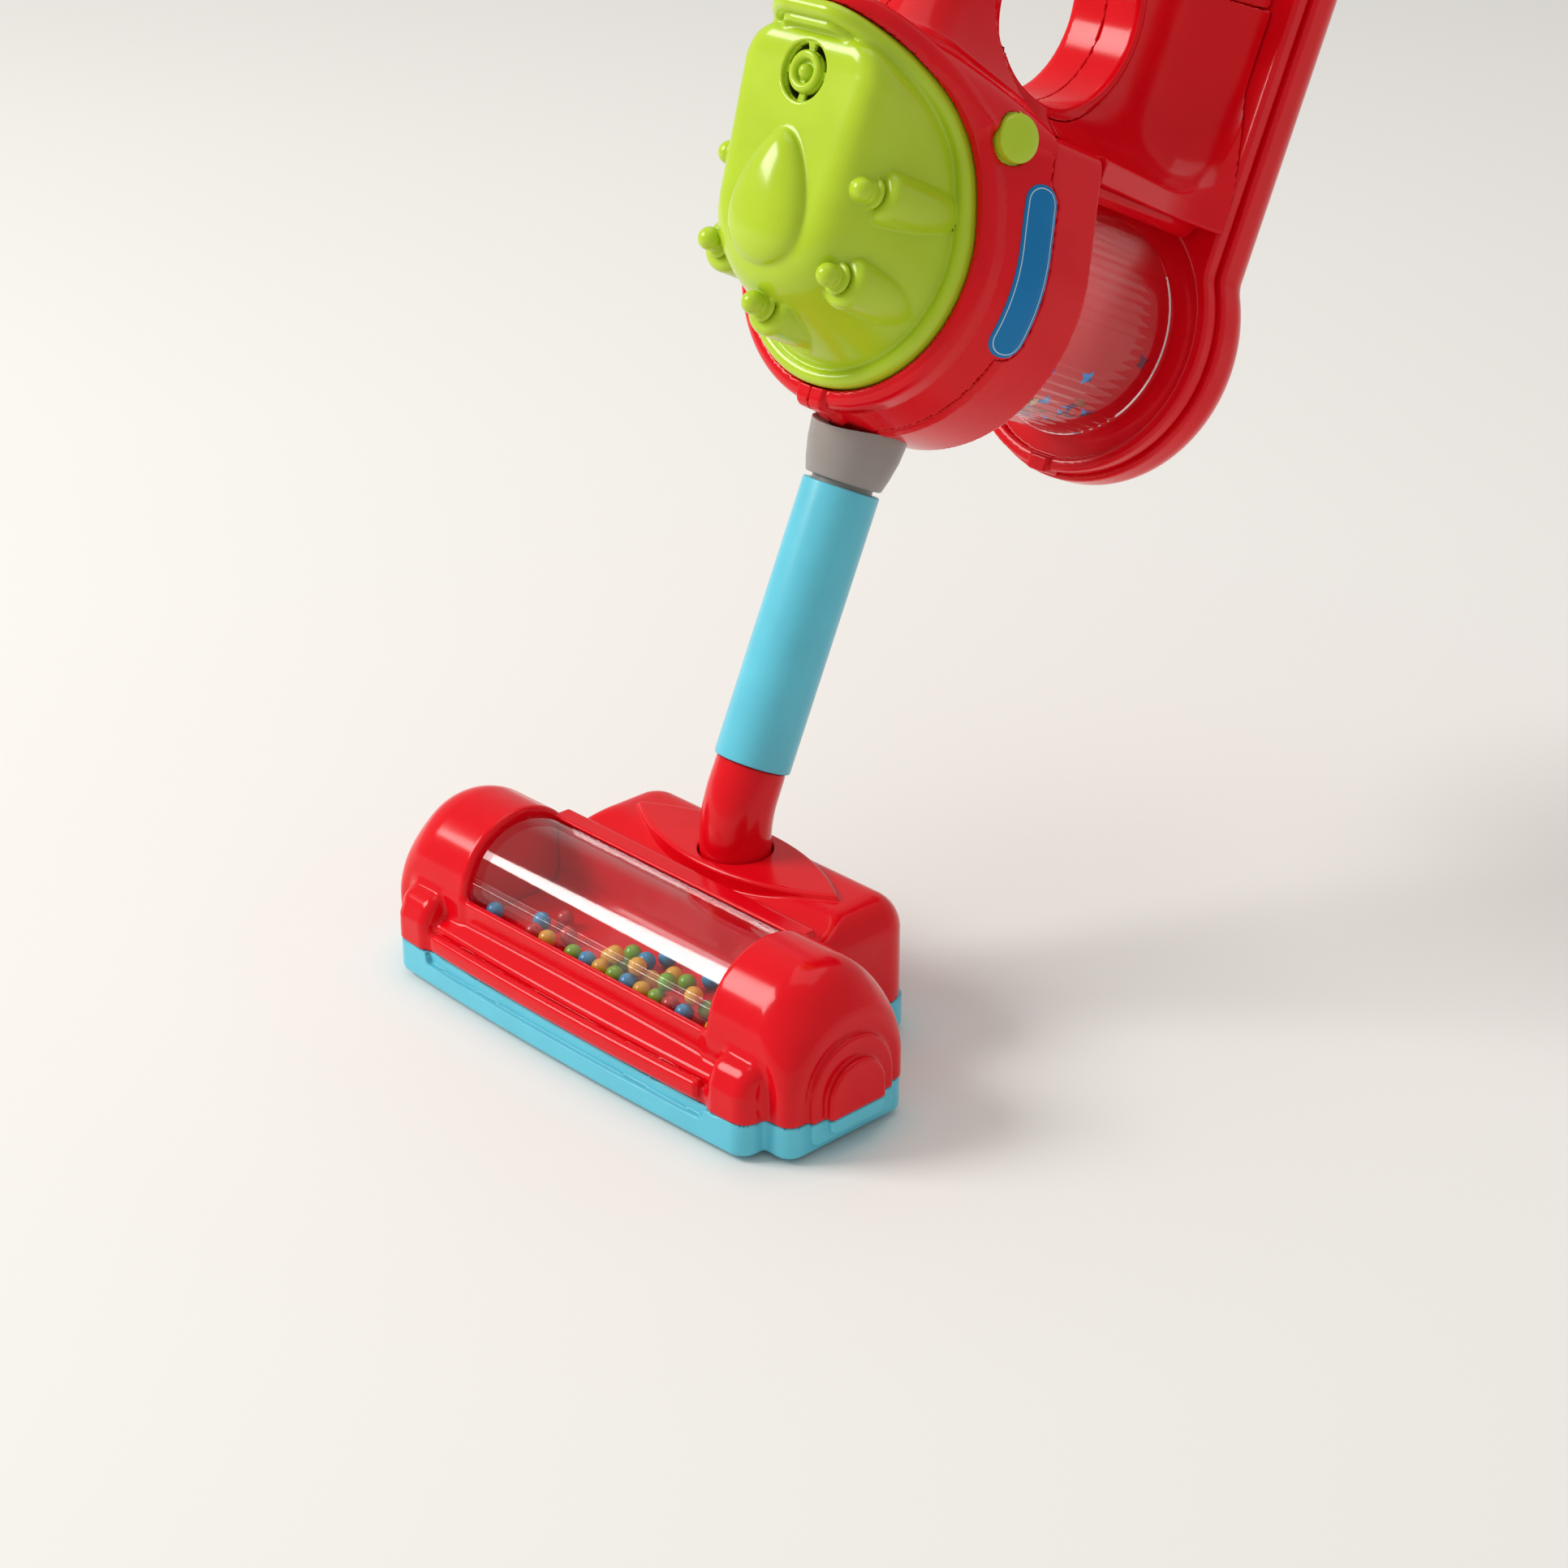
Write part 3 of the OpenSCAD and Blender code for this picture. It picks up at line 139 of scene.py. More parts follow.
def net(f, lo, hi, h):
    """Points and quads of the surface f = 0 in the box, and the slope of f there.

    Blocks of the grid whose middle lies far from the surface are not sampled.
    """
    h = h * COARSE
    lo = np.array(lo, np.float32) - h * 1.37
    count = -(-np.ceil((np.array(hi) + h * 2 - lo) / h).astype(int) // BLOCK)
    axes = np.meshgrid(*[np.arange(n) for n in count], indexing="ij")
    cells = np.stack(axes, -1).reshape(-1, 3)
    middle = lo + (cells * BLOCK + (BLOCK - 1) / 2) * h
    value = sample(f, middle.astype(np.float32))
    near = np.abs(value) < BLOCK * h * NEAR
    grid = np.where(value < 0, -FAR, FAR).astype(np.float32).reshape(count)
    for axis in range(3):
        grid = np.repeat(grid, BLOCK, axis)
    axes = np.meshgrid(*[np.arange(BLOCK)] * 3, indexing="ij")
    local = np.stack(axes, -1).reshape(-1, 3)
    index = (cells[near][:, None] * BLOCK + local[None]).reshape(-1, 3)
    known = sample(f, (lo + index * h).astype(np.float32))
    grid[index[:, 0], index[:, 1], index[:, 2]] = known
    inside = grid < 0
    n = np.array(grid.shape) - 1
    total = sum(inside[a:a + n[0], b:b + n[1], c:c + n[2]].astype(np.int8)
                for a, b, c in CORNERS)
    cell = np.argwhere((total > 0) & (total < 8))
    corner = [grid[tuple((cell + c).T)] for c in CORNERS]
    at = np.zeros((len(cell), 3))
    hits = np.zeros(len(cell))
    for a, b in EDGES:
        m = (corner[a] < 0) != (corner[b] < 0)
        t = corner[a][m] / (corner[a][m] - corner[b][m])
        at[m] += CORNERS[a] + t[:, None] * (CORNERS[b] - CORNERS[a])
        hits[m] += 1
    points = (lo + h * (cell + at / hits[:, None])).astype(np.float32)
    number = np.full(tuple(n), -1, np.int32)
    number[tuple(cell.T)] = np.arange(len(cell))
    quads = []
    for axis in range(3):
        u, v = (axis + 1) % 3, (axis + 2) % 3
        a = np.take(inside, range(n[axis]), axis)
        b = np.take(inside, range(1, n[axis] + 1), axis)
        g = np.argwhere(a != b)
        g = g[(g[:, u] > 0) & (g[:, v] > 0) & (g[:, u] < n[u]) & (g[:, v] < n[v])]
        ring = []
        for du, dv in ((1, 1), (0, 1), (0, 0), (1, 0)):
            q = g.copy()
            q[:, u] -= du
            q[:, v] -= dv
            ring.append(number[tuple(q.T)])
        ring = np.stack(ring, 1)
        out = a[tuple(g.T)]
        quads.append(np.where(out[:, None], ring, ring[:, ::-1]))
    for _ in range(PASSES):
        d, g = sample(f, points), slope(f, points)
        step = d / np.maximum((g * g).sum(1), 0.25)
        points -= (np.clip(step, -h, h)[:, None] * g).astype(np.float32)
    return points, np.concatenate(quads), slope(f, points)


# Objects

def to_unit(p):
    """From (across, behind the wand, above the drum's axis) to the frame, in metres."""
    p = np.asarray(p, float)
    s = p[:, 2] + AXIS_S
    y, z = p[:, 1] * CL + s * SL, BEND_Z - p[:, 1] * SL + s * CL
    return np.stack([p[:, 0], y, z], 1) * MM


def to_head(p):
    return np.asarray(p, float) * MM


def turn_unit(g):
    return np.stack([g[:, 0], g[:, 1] * CL + g[:, 2] * SL, -g[:, 1] * SL + g[:, 2] * CL], 1)


def add(name, points, faces, body, slot, nodes=(), normals=None, angle=None):
    mesh = bpy.data.meshes.new(name)
    mesh.from_pydata([tuple(p) for p in points], [], [tuple(int(i) for i in f) for f in faces])
    mesh.update()
    mesh.polygons.foreach_set("use_smooth", [True] * len(mesh.polygons))
    if normals is not None:
        length = np.maximum(np.linalg.norm(normals, axis=1), 1e-9)
        mesh.normals_split_custom_set_from_vertices([tuple(v) for v in normals / length[:, None]])
    elif angle:
        mesh.set_sharp_from_angle(angle=math.radians(angle))
    obj = bpy.data.objects.new(name, mesh)
    bpy.context.scene.collection.objects.link(obj)
    mesh.materials.append(MATERIALS[slot])
    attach(obj, body)
    if nodes:
        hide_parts(*nodes)
    return obj


def solid(name, f, lo, hi, h, body, slot, nodes=(), unit=True):
    p, q, g = net(f, lo, hi, h)
    if unit:
        return add(name, to_unit(p), q, body, slot, nodes, turn_unit(g))
    return add(name, to_head(p), q, body, slot, nodes, g)


def rings(loops, closed=False, caps=True):
    """Points and faces of a skin over loops of points, each loop with as many points."""
    m = len(loops[0])
    points = np.concatenate([np.asarray(l, float) for l in loops])
    faces = []
    for i in range(len(loops) - (0 if closed else 1)):
        a, b = i * m, (i + 1) % len(loops) * m
        faces += [(a + j, a + (j + 1) % m, b + (j + 1) % m, b + j) for j in range(m)]
    if caps and not closed:
        faces += [tuple(range(m - 1, -1, -1)), tuple((len(loops) - 1) * m + j for j in range(m))]
    return points, faces


def fillet(profile, r, steps=4):
    """An open profile of (radius, height) with its inner corners rounded.

    r is one radius for all of them, or a list.
    """
    out = [profile[0]]
    for i in range(1, len(profile) - 1):
        a, b, c = (np.array(p, float) for p in profile[i - 1:i + 2])
        size = r if np.isscalar(r) else r[i - 1]
        ab, cb = np.linalg.norm(a - b), np.linalg.norm(c - b)
        u, v = (a - b) / ab, (c - b) / cb
        half = math.acos(max(-1, min(1, float(u @ v)))) / 2
        cut = min(size / max(math.tan(half), 1e-3), ab * 0.49, cb * 0.49)
        p, q = b + u * cut, b + v * cut
        for k in range(steps + 1):
            t = k / steps
            out.append((1 - t) ** 2 * p + 2 * t * (1 - t) * b + t * t * q)
    out.append(profile[-1])
    return [(float(p[0]), float(p[1])) for p in out]


def lathe(profile, m=96):
    """Loops of a profile of (radius, height) turned about Z."""
    turn = np.arange(m) * 2 * math.pi / m
    c, s = np.cos(turn), np.sin(turn)
    return [np.stack([r * c, r * s, np.full(m, z)], 1) for r, z in profile]


def paint(obj, slot, flags):
    """Give the flagged faces a second material."""
    obj.data.materials.append(MATERIALS[slot])
    obj.data.polygons.foreach_set("material_index", [int(f) for f in flags])


# Materials

def node_material(name):
    m = bpy.data.materials.new(name)
    m.use_nodes = True
    return m, m.node_tree, m.node_tree.nodes["Principled BSDF"]


def noise(t, scale, detail=None):
    """A noise texture in the object's own space."""
    place = t.nodes.new("ShaderNodeTexCoord")
    node = t.nodes.new("ShaderNodeTexNoise")
    node.inputs["Scale"].default_value = scale
    if detail is not None:
        node.inputs["Detail"].default_value = detail
    t.links.new(place.outputs["Object"], node.inputs["Vector"])
    return node.outputs["Fac"]


def ramp(t, value, dark, light, target, start=0.0, end=1.0):
    """Drive a colour between two tones."""
    node = t.nodes.new("ShaderNodeValToRGB")
    tones = node.color_ramp.elements
    for tone, at, colour in zip(tones, (start, end), (dark, light)):
        tone.position = at
        tone.color = (*colour, 1)
    t.links.new(value, node.inputs["Fac"])
    t.links.new(node.outputs["Color"], target)


def span(t, value, low, high, target, start=0.0, end=1.0):
    """Drive a number between two ends."""
    node = t.nodes.new("ShaderNodeMapRange")
    for key, number in (("From Min", start), ("From Max", end),
                        ("To Min", low), ("To Max", high)):
        node.inputs[key].default_value = number
    t.links.new(value, node.inputs["Value"])
    t.links.new(node.outputs["Result"], target)


def plastic(name, colour, rough=0.16, bump=0.012, coat=0.25, shine=0.4):
    """Moulded plastic: faint drift of colour, patches of wear in the gloss, and a fine skin."""
    vary, wear = 0.04, 0.05
    m, t, s = node_material(name)
    dark = [c * (1 - vary) for c in colour]
    light = [min(1, c * (1 + vary) + 0.002) for c in colour]
    ramp(t, noise(t, 55, 3), dark, light, s.inputs["Base Color"], 0.3, 0.7)
    span(t, noise(t, 130, 5), rough, rough + wear, s.inputs["Roughness"], 0.35, 0.75)
    relief = t.nodes.new("ShaderNodeBump")
    relief.inputs["Strength"].default_value = bump
    relief.inputs["Distance"].default_value = 0.0004
    t.links.new(noise(t, 900), relief.inputs["Height"])
    t.links.new(relief.outputs["Normal"], s.inputs["Normal"])
    s.inputs["Specular IOR Level"].default_value = shine
    s.inputs["Coat Weight"].default_value = coat
    s.inputs["Coat Roughness"].default_value = 0.06
    return m


def clear_plastic(name, tint, alpha, most):
    """Clear plastic: see-through face on, brighter towards its edges."""
    m, t, s = node_material(name)
    span(t, noise(t, 70, 4), 0.03, 0.09, s.inputs["Roughness"])
    s.inputs["Base Color"].default_value = (*tint, 1)
    s.inputs["Metallic"].default_value = 1
    rim = t.nodes.new("ShaderNodeLayerWeight")
    rim.inputs["Blend"].default_value = 0.5
    through = t.nodes.new("ShaderNodeBsdfTransparent")
    through.inputs["Color"].default_value = (0.97, 0.975, 0.98, 1)
    mix = t.nodes.new("ShaderNodeMixShader")
    span(t, rim.outputs["Facing"], alpha, most, mix.inputs["Fac"], start=0.5)
    t.links.new(through.outputs["BSDF"], mix.inputs[1])
    t.links.new(s.outputs["BSDF"], mix.inputs[2])
    t.links.new(mix.outputs["Shader"], t.nodes["Material Output"].inputs["Surface"])
    return m


def metal(name, colour, rough):
    m, t, s = node_material(name)
    grain = noise(t, 300, 4)
    span(t, grain, rough, rough + 0.15, s.inputs["Roughness"])
    ramp(t, grain, [c * 0.85 for c in colour], colour, s.inputs["Base Color"])
    s.inputs["Metallic"].default_value = 1
    return m


MATERIALS = {
    "red": plastic("red_gloss", (0.76, 0.001, 0.008), rough=0.14, coat=0.06, shine=0.22),
    "sky": plastic("sky_satin", (0.125, 0.59, 0.75), rough=0.28, coat=0.06, bump=0.02, shine=0.3),
    "lime": plastic("lime_gloss", (0.47, 0.65, 0.022), rough=0.18, coat=0.12, shine=0.35),
    "grey": plastic("grey_satin", (0.30, 0.275, 0.255), rough=0.36, coat=0.05, bump=0.03),
    "clear": clear_plastic("clear_shell", (0.9, 0.92, 0.93), 0.045, 0.42),
    # Near-opaque white copy of the clear plastic for the drum's rear rim: a painted highlight where
    # the thick clear edge catches the light
    "clear_painted_highlight": clear_plastic("clear_rim_painted_highlight", (0.97, 0.95, 0.95), 0.6, 0.8),
    "label": plastic("label_film", (0.004, 0.19, 0.47), rough=0.3, coat=0.04, shine=0.2),
    "bead_red": plastic("bead_red_gloss", (0.60, 0.03, 0.03), rough=0.2),
    "bead_yellow": plastic("bead_yellow_gloss", (0.86, 0.42, 0.04), rough=0.2),
    "bead_blue": plastic("bead_blue_gloss", (0.05, 0.30, 0.55), rough=0.2),
    "bead_green": plastic("bead_green_gloss", (0.22, 0.45, 0.03), rough=0.2),
    "foil_blue": metal("foil_blue_bright", (0.05, 0.32, 0.85), 0.18),
    "foil_gold": metal("foil_gold_bright", (0.72, 0.52, 0.16), 0.18),
    "foil_purple": metal("foil_purple_bright", (0.32, 0.07, 0.5), 0.18),
    "steel": metal("steel_bright", (0.62, 0.62, 0.63), 0.22),
    "dark": plastic("black_matte", (0.03, 0.03, 0.03), rough=0.5, coat=0),
    "board": plastic("board_green", (0.03, 0.2, 0.06), rough=0.45, coat=0.1),
    "white": plastic("white_plastic", (0.72, 0.72, 0.7), rough=0.35, coat=0.05),
    "line": plastic("label_line", (0.55, 0.68, 0.8), rough=0.35, coat=0.1),
    # Near-black lime for the deep faces of the grille's slots: painted shade in the recesses
    "well": plastic("lime_painted_grille_shade", (0.06, 0.07, 0.01), rough=0.6, coat=0),
}

# Camera at the photograph's place

SENSOR, FOCAL_PX, PHOTO_PX = 36, 4097.9, 1932
lens = bpy.data.cameras.new("camera")
lens.sensor_width = SENSOR
lens.lens = FOCAL_PX / PHOTO_PX * SENSOR
lens.clip_start = 0.05
camera = bpy.data.objects.new("camera", lens)
bpy.context.scene.collection.objects.link(camera)
camera.location = (0.6937, -0.6368, 0.5236)
look = Vector((-0.6536, 0.6200, -0.4341)).normalized()
camera.rotation_euler = look.to_track_quat("-Z", "Y").to_euler()
bpy.context.scene.camera = camera

# Floor head: the red shell

CAP_Y, DOME_Z, DOME_R = -40.9, 29.5, 24.6
BASE_H, JOINT = 11.3, 0.1
CAP_HALF, BUMPER_HALF, HUMP_HALF = 93.5, 83, 60
HUMP_FRONT, HUMP_BACK, HUMP_TOP, HUMP_DROP, HUMP_ROUND = -24.2, 21, 46.5, 4.4, 12
PAD_HALF_L, PAD_HALF_W, PAD_TOP = 47, 15.2, 47.8
BAY_R, BAY_HALF, DOME_INNER = 22.25, 56.75, 56.9
NECK_HOLE_R = 12.1
BOW = 2.4
# Front beam, from the wall under the window down and out to the bosses
WALL_Y, LEDGE_Y, SILL_Y, RIB_Y, BOSS_Y, BEAM_BACK = -65.6, -72.3, -74.4, -74.5, -76.2, -50
WALL_Z, LEDGE_Z, SILL_Z, RIB_Z, BOSS_Z = 30.0, 22.3, 17.0, 15.8, 28.6
RIB_HALF, RIB_R, BOSS_INNER = 63.5, 1.9, 66
# Steps on the ends: how far out, half width, top on the shell, foot on the tray
END_STEPS = ((95.5, 16.7, 34.4, 3.4), (98, 11.3, 27.7, 6.4))


def bow(x):
    return BOW * (x / BUMPER_HALF) ** 2


def arch(y, z, centre_z, r):
    return np.hypot(y - CAP_Y, np.maximum(z - centre_z, 0)) - r


def leaf(x, y, half_l, half_w):
    r = (half_l ** 2 + half_w ** 2) / (2 * half_w)
    return np.maximum(np.hypot(x, y - r + half_w), np.hypot(x, y + r - half_w)) - r


def domes(ax, y, z):
    """Domed ends, each with two steps on its outer face."""
    r = 5 + 12 * smooth((z - 20) / 26)
    dome = both(arch(y, z, DOME_Z, DOME_R), ax - CAP_HALF, r)
    dome = both(dome, DOME_INNER - ax, 2.2)
    for out, half, top, _ in END_STEPS:
        step = both(arch(y, z, top - half, half), ax - out, 1.1)
        dome = smin(dome, np.maximum(step, 88 - ax), 0.8)
    return dome


def hump(x, y, z):
    """Hump round the neck, lower in front, with a leaf-shaped pad on it."""
    body = rect(y, z, -60, HUMP_BACK, -30, HUMP_TOP, HUMP_ROUND)
    body = both(body, np.abs(x) - HUMP_HALF, HUMP_ROUND)
    body = smax(body, z - HUMP_TOP + HUMP_DROP * smooth((-3 - y) / 14), 2.0)
    body = both(body, HUMP_FRONT - y, 1.2)
    pad = both(leaf(x, y, PAD_HALF_L, PAD_HALF_W), z - PAD_TOP, 1.4)
    return smin(body, np.maximum(pad, 40 - z), 0.9)


def beam(ax, fy, y, z):
    """Beam below the window: wall, sloping ledge, sill with its rib, two bosses."""
    body = np.maximum(both(WALL_Y - y, z - WALL_Z, 1.0), y + 60)
    slant = (z - LEDGE_Z) * 0.919 - (fy + 66.7) * 0.394
    ledge = both(slant, LEDGE_Y - fy, 1.4)
    body = smin(body, np.maximum(ledge, y - BEAM_BACK), 1.6)
    sill = np.maximum(both(SILL_Y - fy, z - SILL_Z, 0.5), y - BEAM_BACK)
    body = smin(body, sill, 0.8)
    rib = np.hypot(fy - RIB_Y, np.maximum(np.abs(z - RIB_Z) - 1.3, 0)) - RIB_R
    body = smin(body, both(rib, ax - RIB_HALF, 1.75), 0.5)
    body = both(body, ax - BUMPER_HALF, 4)
    face = BOSS_Y - fy + np.maximum(z - 20, 0) * 0.42
    boss = both(both(face, z - BOSS_Z, 4.2), ax - BUMPER_HALF, 5)
    boss = both(boss, BOSS_INNER - ax, 4.2)
    return smin(body, np.maximum(boss, y - BEAM_BACK), 2.0)


def shell_field(x, y, z):
    ax = np.abs(x)
    body = smin(domes(ax, y, z), beam(ax, y - bow(x), y, z), 2.6)
    body = smin(body, hump(x, y, z), 1.6)
    back = np.maximum(rect(y, z, -27.2, -20, 0, PAD_TOP, 1.0), ax - 57.5)
    body = smin(body, back, 0.6)
    bay = np.maximum(np.hypot(y - CAP_Y, z - DOME_Z) - BAY_R, ax - BAY_HALF)
    body = smax(body, -bay, 0.6)
    below = np.maximum(np.maximum(ax - BAY_HALF, np.abs(y + 43) - 19.2), z - 29)
    body = np.maximum(body, -below)
    hole = np.maximum(np.hypot(x, y) - NECK_HOLE_R, 30 - z)
    body = smax(body, -hole, 0.7)
    return both(body, BASE_H + JOINT - z, 0.35)


solid("shell_red", shell_field, (-98.5, -77, 10.5), (98.5, 22, 55), HEAD_STEP,
      "floor_head", "red", ["head_shell"], unit=False)


# Floor head: the blue tray

WELLS = ((87.4, -51.2), (47.1, 10.4))
WELL_HALF_W, WELL_HALF_L, WELL_TOP = 2.9, 7.5, 10.2
STRIP_HALF, STRIP_Z = 66, 7.4


def plan(x, y):
    bumper = rect(x, y - bow(x), -BUMPER_HALF, BUMPER_HALF, -76.4, -40, 6)
    cap = rect(x, y, -CAP_HALF, CAP_HALF, -65.5, -16.3, 6)
    back = rect(x, y, -HUMP_HALF, HUMP_HALF, -41, HUMP_BACK, 10)
    return smin(smin(bumper, cap, 1.6), back, 1.6)


def tray_field(x, y, z):
    ax = np.abs(x)
    body = both(plan(x, y), -z, 2.0)
    strip = rect(x, z, -STRIP_HALF, STRIP_HALF, STRIP_Z, 30, 2.2)
    body = smax(body, -np.maximum(strip, y - bow(x) - RIB_Y), 0.5)
    for out, half, _, foot in END_STEPS:
        step = both(rect(y, z, CAP_Y - half, CAP_Y + half, foot, 30, 3), ax - out, 0.9)
        body = smin(body, np.maximum(step, 80 - ax), 0.5)
    body = both(body, z - BASE_H + JOINT, 0.4)
    for wx, wy in WELLS:
        well = rect(ax, y, wx - WELL_HALF_W, wx + WELL_HALF_W,
                    wy - WELL_HALF_L, wy + WELL_HALF_L, 0.6)
        body = smax(body, -np.maximum(well, z - WELL_TOP), 0.4)
    return body


solid("tray_blue", tray_field, (-98.5, -77, -0.2), (98.5, 22, 11.5), HEAD_STEP,
      "floor_head", "sky", ["base_tray"], unit=False)


# Wheels with a rounded tread and a hub, which turn on steel axles

WHEELS = (("front", 87.4, -51.232), ("rear", 47.1, 10.4))
AXLE_Z = 5.5
HALF_WHEEL = [(1.6, 2.4), (3.0, 2.4), (3.4, 1.7), (5.0, 1.7), (5.5, 2.5), (6.4, 2.5), (7.0, 1.7)]


def wheel(name, x, y):
    profile = [(r, -z) for r, z in HALF_WHEEL] + HALF_WHEEL[::-1]
    loops = [np.stack([l[:, 2] + x, l[:, 0] + y, l[:, 1] + AXLE_Z], 1)
             for l in lathe(profile, 48)]
    p, q = rings(loops, closed=True)
    add(name + "_rim", to_head(p), q, name, "sky", [name], angle=40)


for side, word in ((-1, "left"), (1, "right")):
    for end, x, y in WHEELS:
        wheel(f"{end}_{word}_wheel", side * x, y)

# Window with its two moulded ridges

WINDOW_R, WINDOW_T, WINDOW_HALF = 22.0, 1.8, 56.6
RIDGES, RIDGE_HALF, RIDGE_H = (158.6, 163.4), 1.5, 0.5
WINDOW_ANGLES = np.concatenate([
    np.linspace(196, 167, 12), np.linspace(166, 156, 41), np.linspace(155, 48, 44)])


def window_loop(x):
    angles = [math.radians(a) for a in WINDOW_ANGLES]
    loop = []
    for a in angles:
        off = [abs(math.degrees(a) - c) / RIDGE_HALF for c in RIDGES]
        loop.append((a, WINDOW_R + RIDGE_H * max(max(0, 1 - o) ** 0.5 for o in off)))
    loop += [(a, WINDOW_R - WINDOW_T) for a in angles[::-1]]
    return [(x, CAP_Y + r * math.cos(a), DOME_Z + r * math.sin(a)) for a, r in loop]


p, q = rings([window_loop(x) for x in np.linspace(-WINDOW_HALF, WINDOW_HALF, 9)])
add("window_clear", to_head(p), q, "floor_head", "clear", ["window"], angle=35)


# Liner behind the beads: a floor and a back wall, with a cove between them

LINER_FRONT, LINER_BACK, LINER_LOW, LINER_HALF = -62.2, -24.6, 21.6, 56.5
COVE_Y, COVE_Z, COVE_R = -33.5, 31.2, 8.2


def liner_field(x, y, z):
    floor = rect(y, z, LINER_FRONT, LINER_BACK, LINER_LOW, 23.1, 0.6)
    back = rect(y, z, -26.2, LINER_BACK, LINER_LOW, 44.5, 0.6)
    cove = np.maximum(COVE_R - np.hypot(y - COVE_Y, z - COVE_Z), COVE_Y - y)
    cove = np.maximum(cove, np.maximum(z - COVE_Z, 22 - z))
    body = smin(floor, back, 1.5)
    body = np.minimum(body, np.maximum(cove, y + 25))
    return both(body, np.abs(x) - LINER_HALF, 0.4)


solid("liner_red", liner_field, (-57, -63, 21), (57, -24, 45), LINER_STEP,
      "floor_head", "red", ["bead_tray"], unit=False)

# Beads: four rows on the liner, thinner to the left and the back, with a few on top

BEAD_R, BEAD_PITCH, BEAD_Z = 2.98, 6.25, 26.2
BEAD_ROWS = ((-57.6, 0.0), (-51.1, 0.16), (-44.6, 0.42), (-38.1, 0.66))
TOP_BEADS = (("yellow", (14.5, -54.4, 31.0)), ("green", (28.0, -54.4, 31.0)),
             ("yellow", (40.0, -54.2, 31.0)), ("yellow", (4.0, -54.4, 31.0)))
POLE = 0.06

rng = np.random.RandomState(7)
bead_at = {c: [] for c in ("red", "yellow", "blue", "green")}
order = ["yellow", "blue", "red", "green", "yellow", "red", "blue", "yellow", "green", "blue"]
turn = 0
for row, (y0, thinner) in enumerate(BEAD_ROWS):
    x = 52.6 - (row % 2) * 3.1
    while x > -53:
        keep = 0.96 if x > -4 else 0.62 if x > -34 else 0.4
        if rng.rand() < keep - thinner:
            spot = (x, y0 + rng.uniform(-0.25, 0.25), BEAD_Z)
            bead_at[order[turn % len(order)]].append(spot)
            turn += 1 + int(rng.rand() * 2)
        x -= BEAD_PITCH + rng.uniform(0, 0.5)
for colour, spot in TOP_BEADS:
    bead_at[colour].append(spot)


def ball(centre, r, m=20):
    tilts = np.linspace(POLE, math.pi - POLE, 11)
    loops = lathe([(r * math.sin(t), -r * math.cos(t)) for t in tilts], m)
    return rings([l + np.array(centre) for l in loops])


def gather(parts):
    points, faces, base = [], [], 0
    for p, q in parts:
        points.append(p)
        faces += [tuple(i + base for i in f) for f in q]
        base += len(p)
    return np.concatenate(points), faces


for colour, spots in bead_at.items():
    p, q = gather([ball(s, BEAD_R) for s in spots])
    add(f"bead_{colour}_set", to_head(p), q, "floor_head", f"bead_{colour}", [f"beads_{colour}"])

# Neck, tube and collar

def wand_loops(stations, m=80):
    """Loops round the path that rises from the head and bends back.

    A station is (length past the bend, radius).
    """
    start = BEND_R * math.tan(LEAN / 2)
    turn = np.arange(m) * 2 * math.pi / m
    loops = []
    for s, r in stations:
        if s <= -start:
            centre, tilt = np.array([0, 0, BEND_Z + s]), 0
        elif s < start:
            tilt = (s + start) / (2 * start) * LEAN
            rise = BEND_Z - start + BEND_R * math.sin(tilt)
            centre = np.array([0, BEND_R * (1 - math.cos(tilt)), rise])
        else:
            tilt = LEAN
            centre = np.array([0, s * SL, BEND_Z + s * CL])
        back = np.array([0, math.cos(tilt), -math.sin(tilt)])
        across = np.cos(turn)[:, None] * np.array([1, 0, 0])
        loops.append(centre + r * (across + np.sin(turn)[:, None] * back))
    return loops


NECK_R, NECK_BORE = 11.5, 7.1
stations = [(-44, 11.3), (-30, NECK_R), (-12, NECK_R)]
stations += [(s, NECK_R) for s in np.linspace(-8.6, 8.6, 14)]
stations += [(12, 11.45), (15.6, 11.4), (16.8, 11.3), (17.1, 10.9), (17.1, 9.65),
             (30, 9.6), (35, 9.5), (35.2, 9.2)]
stations += [(s, NECK_BORE) for s in (35.2, 17, 8, 0, -8, -44)]
p, q = rings(wand_loops(stations), closed=True)
add("neck_red", to_head(p), q, "hand_unit", "red", ["neck"], angle=40)


def along(profile):
    """Loops about the wand of a profile of (radius, length past the bend)."""
    return lathe([(r, s - AXIS_S) for r, s in profile])


TUBE_R, TUBE_BORE, TUBE_LOW, TUBE_HIGH = 12.5, 9.75, 17.3, 108.6
tube = fillet([(TUBE_BORE, 60), (TUBE_BORE, TUBE_LOW), (TUBE_R, TUBE_LOW),
               (TUBE_R, TUBE_HIGH), (TUBE_BORE, TUBE_HIGH), (TUBE_BORE, 60.2)], 0.7)
p, q = rings(along(tube), closed=True)
add("tube_blue", to_unit(p), q, "hand_unit", "sky", ["wand_tube"], angle=45)

HOUSING_R = 54.6
grey = fillet([(9.6, 96), (9.6, 110.2), (12.3, 110.2), (13.6, 114.5), (14.9, 120.5),
               (15.5, 126.5), (15.5, 131)], [0.3, 0.8, 6, 9, 6])
loops = along(grey) + along([(9.9, 131), (9.9, 96)])
for loop in loops:
    seat = AXIS_S - np.sqrt(HOUSING_R ** 2 - loop[:, 0] ** 2)
    loop[:, 2] = np.minimum(loop[:, 2], seat - AXIS_S + 0.4)
p, q = rings(loops, closed=True)
add("collar_grey", to_unit(p), q, "hand_unit", "grey", ["collar"], angle=45)

# Hand unit: the red housing, cut into its mouldings

FACE_D = -26.0
RIM_LEAD, RIM_TOP = 50.0, 62.5
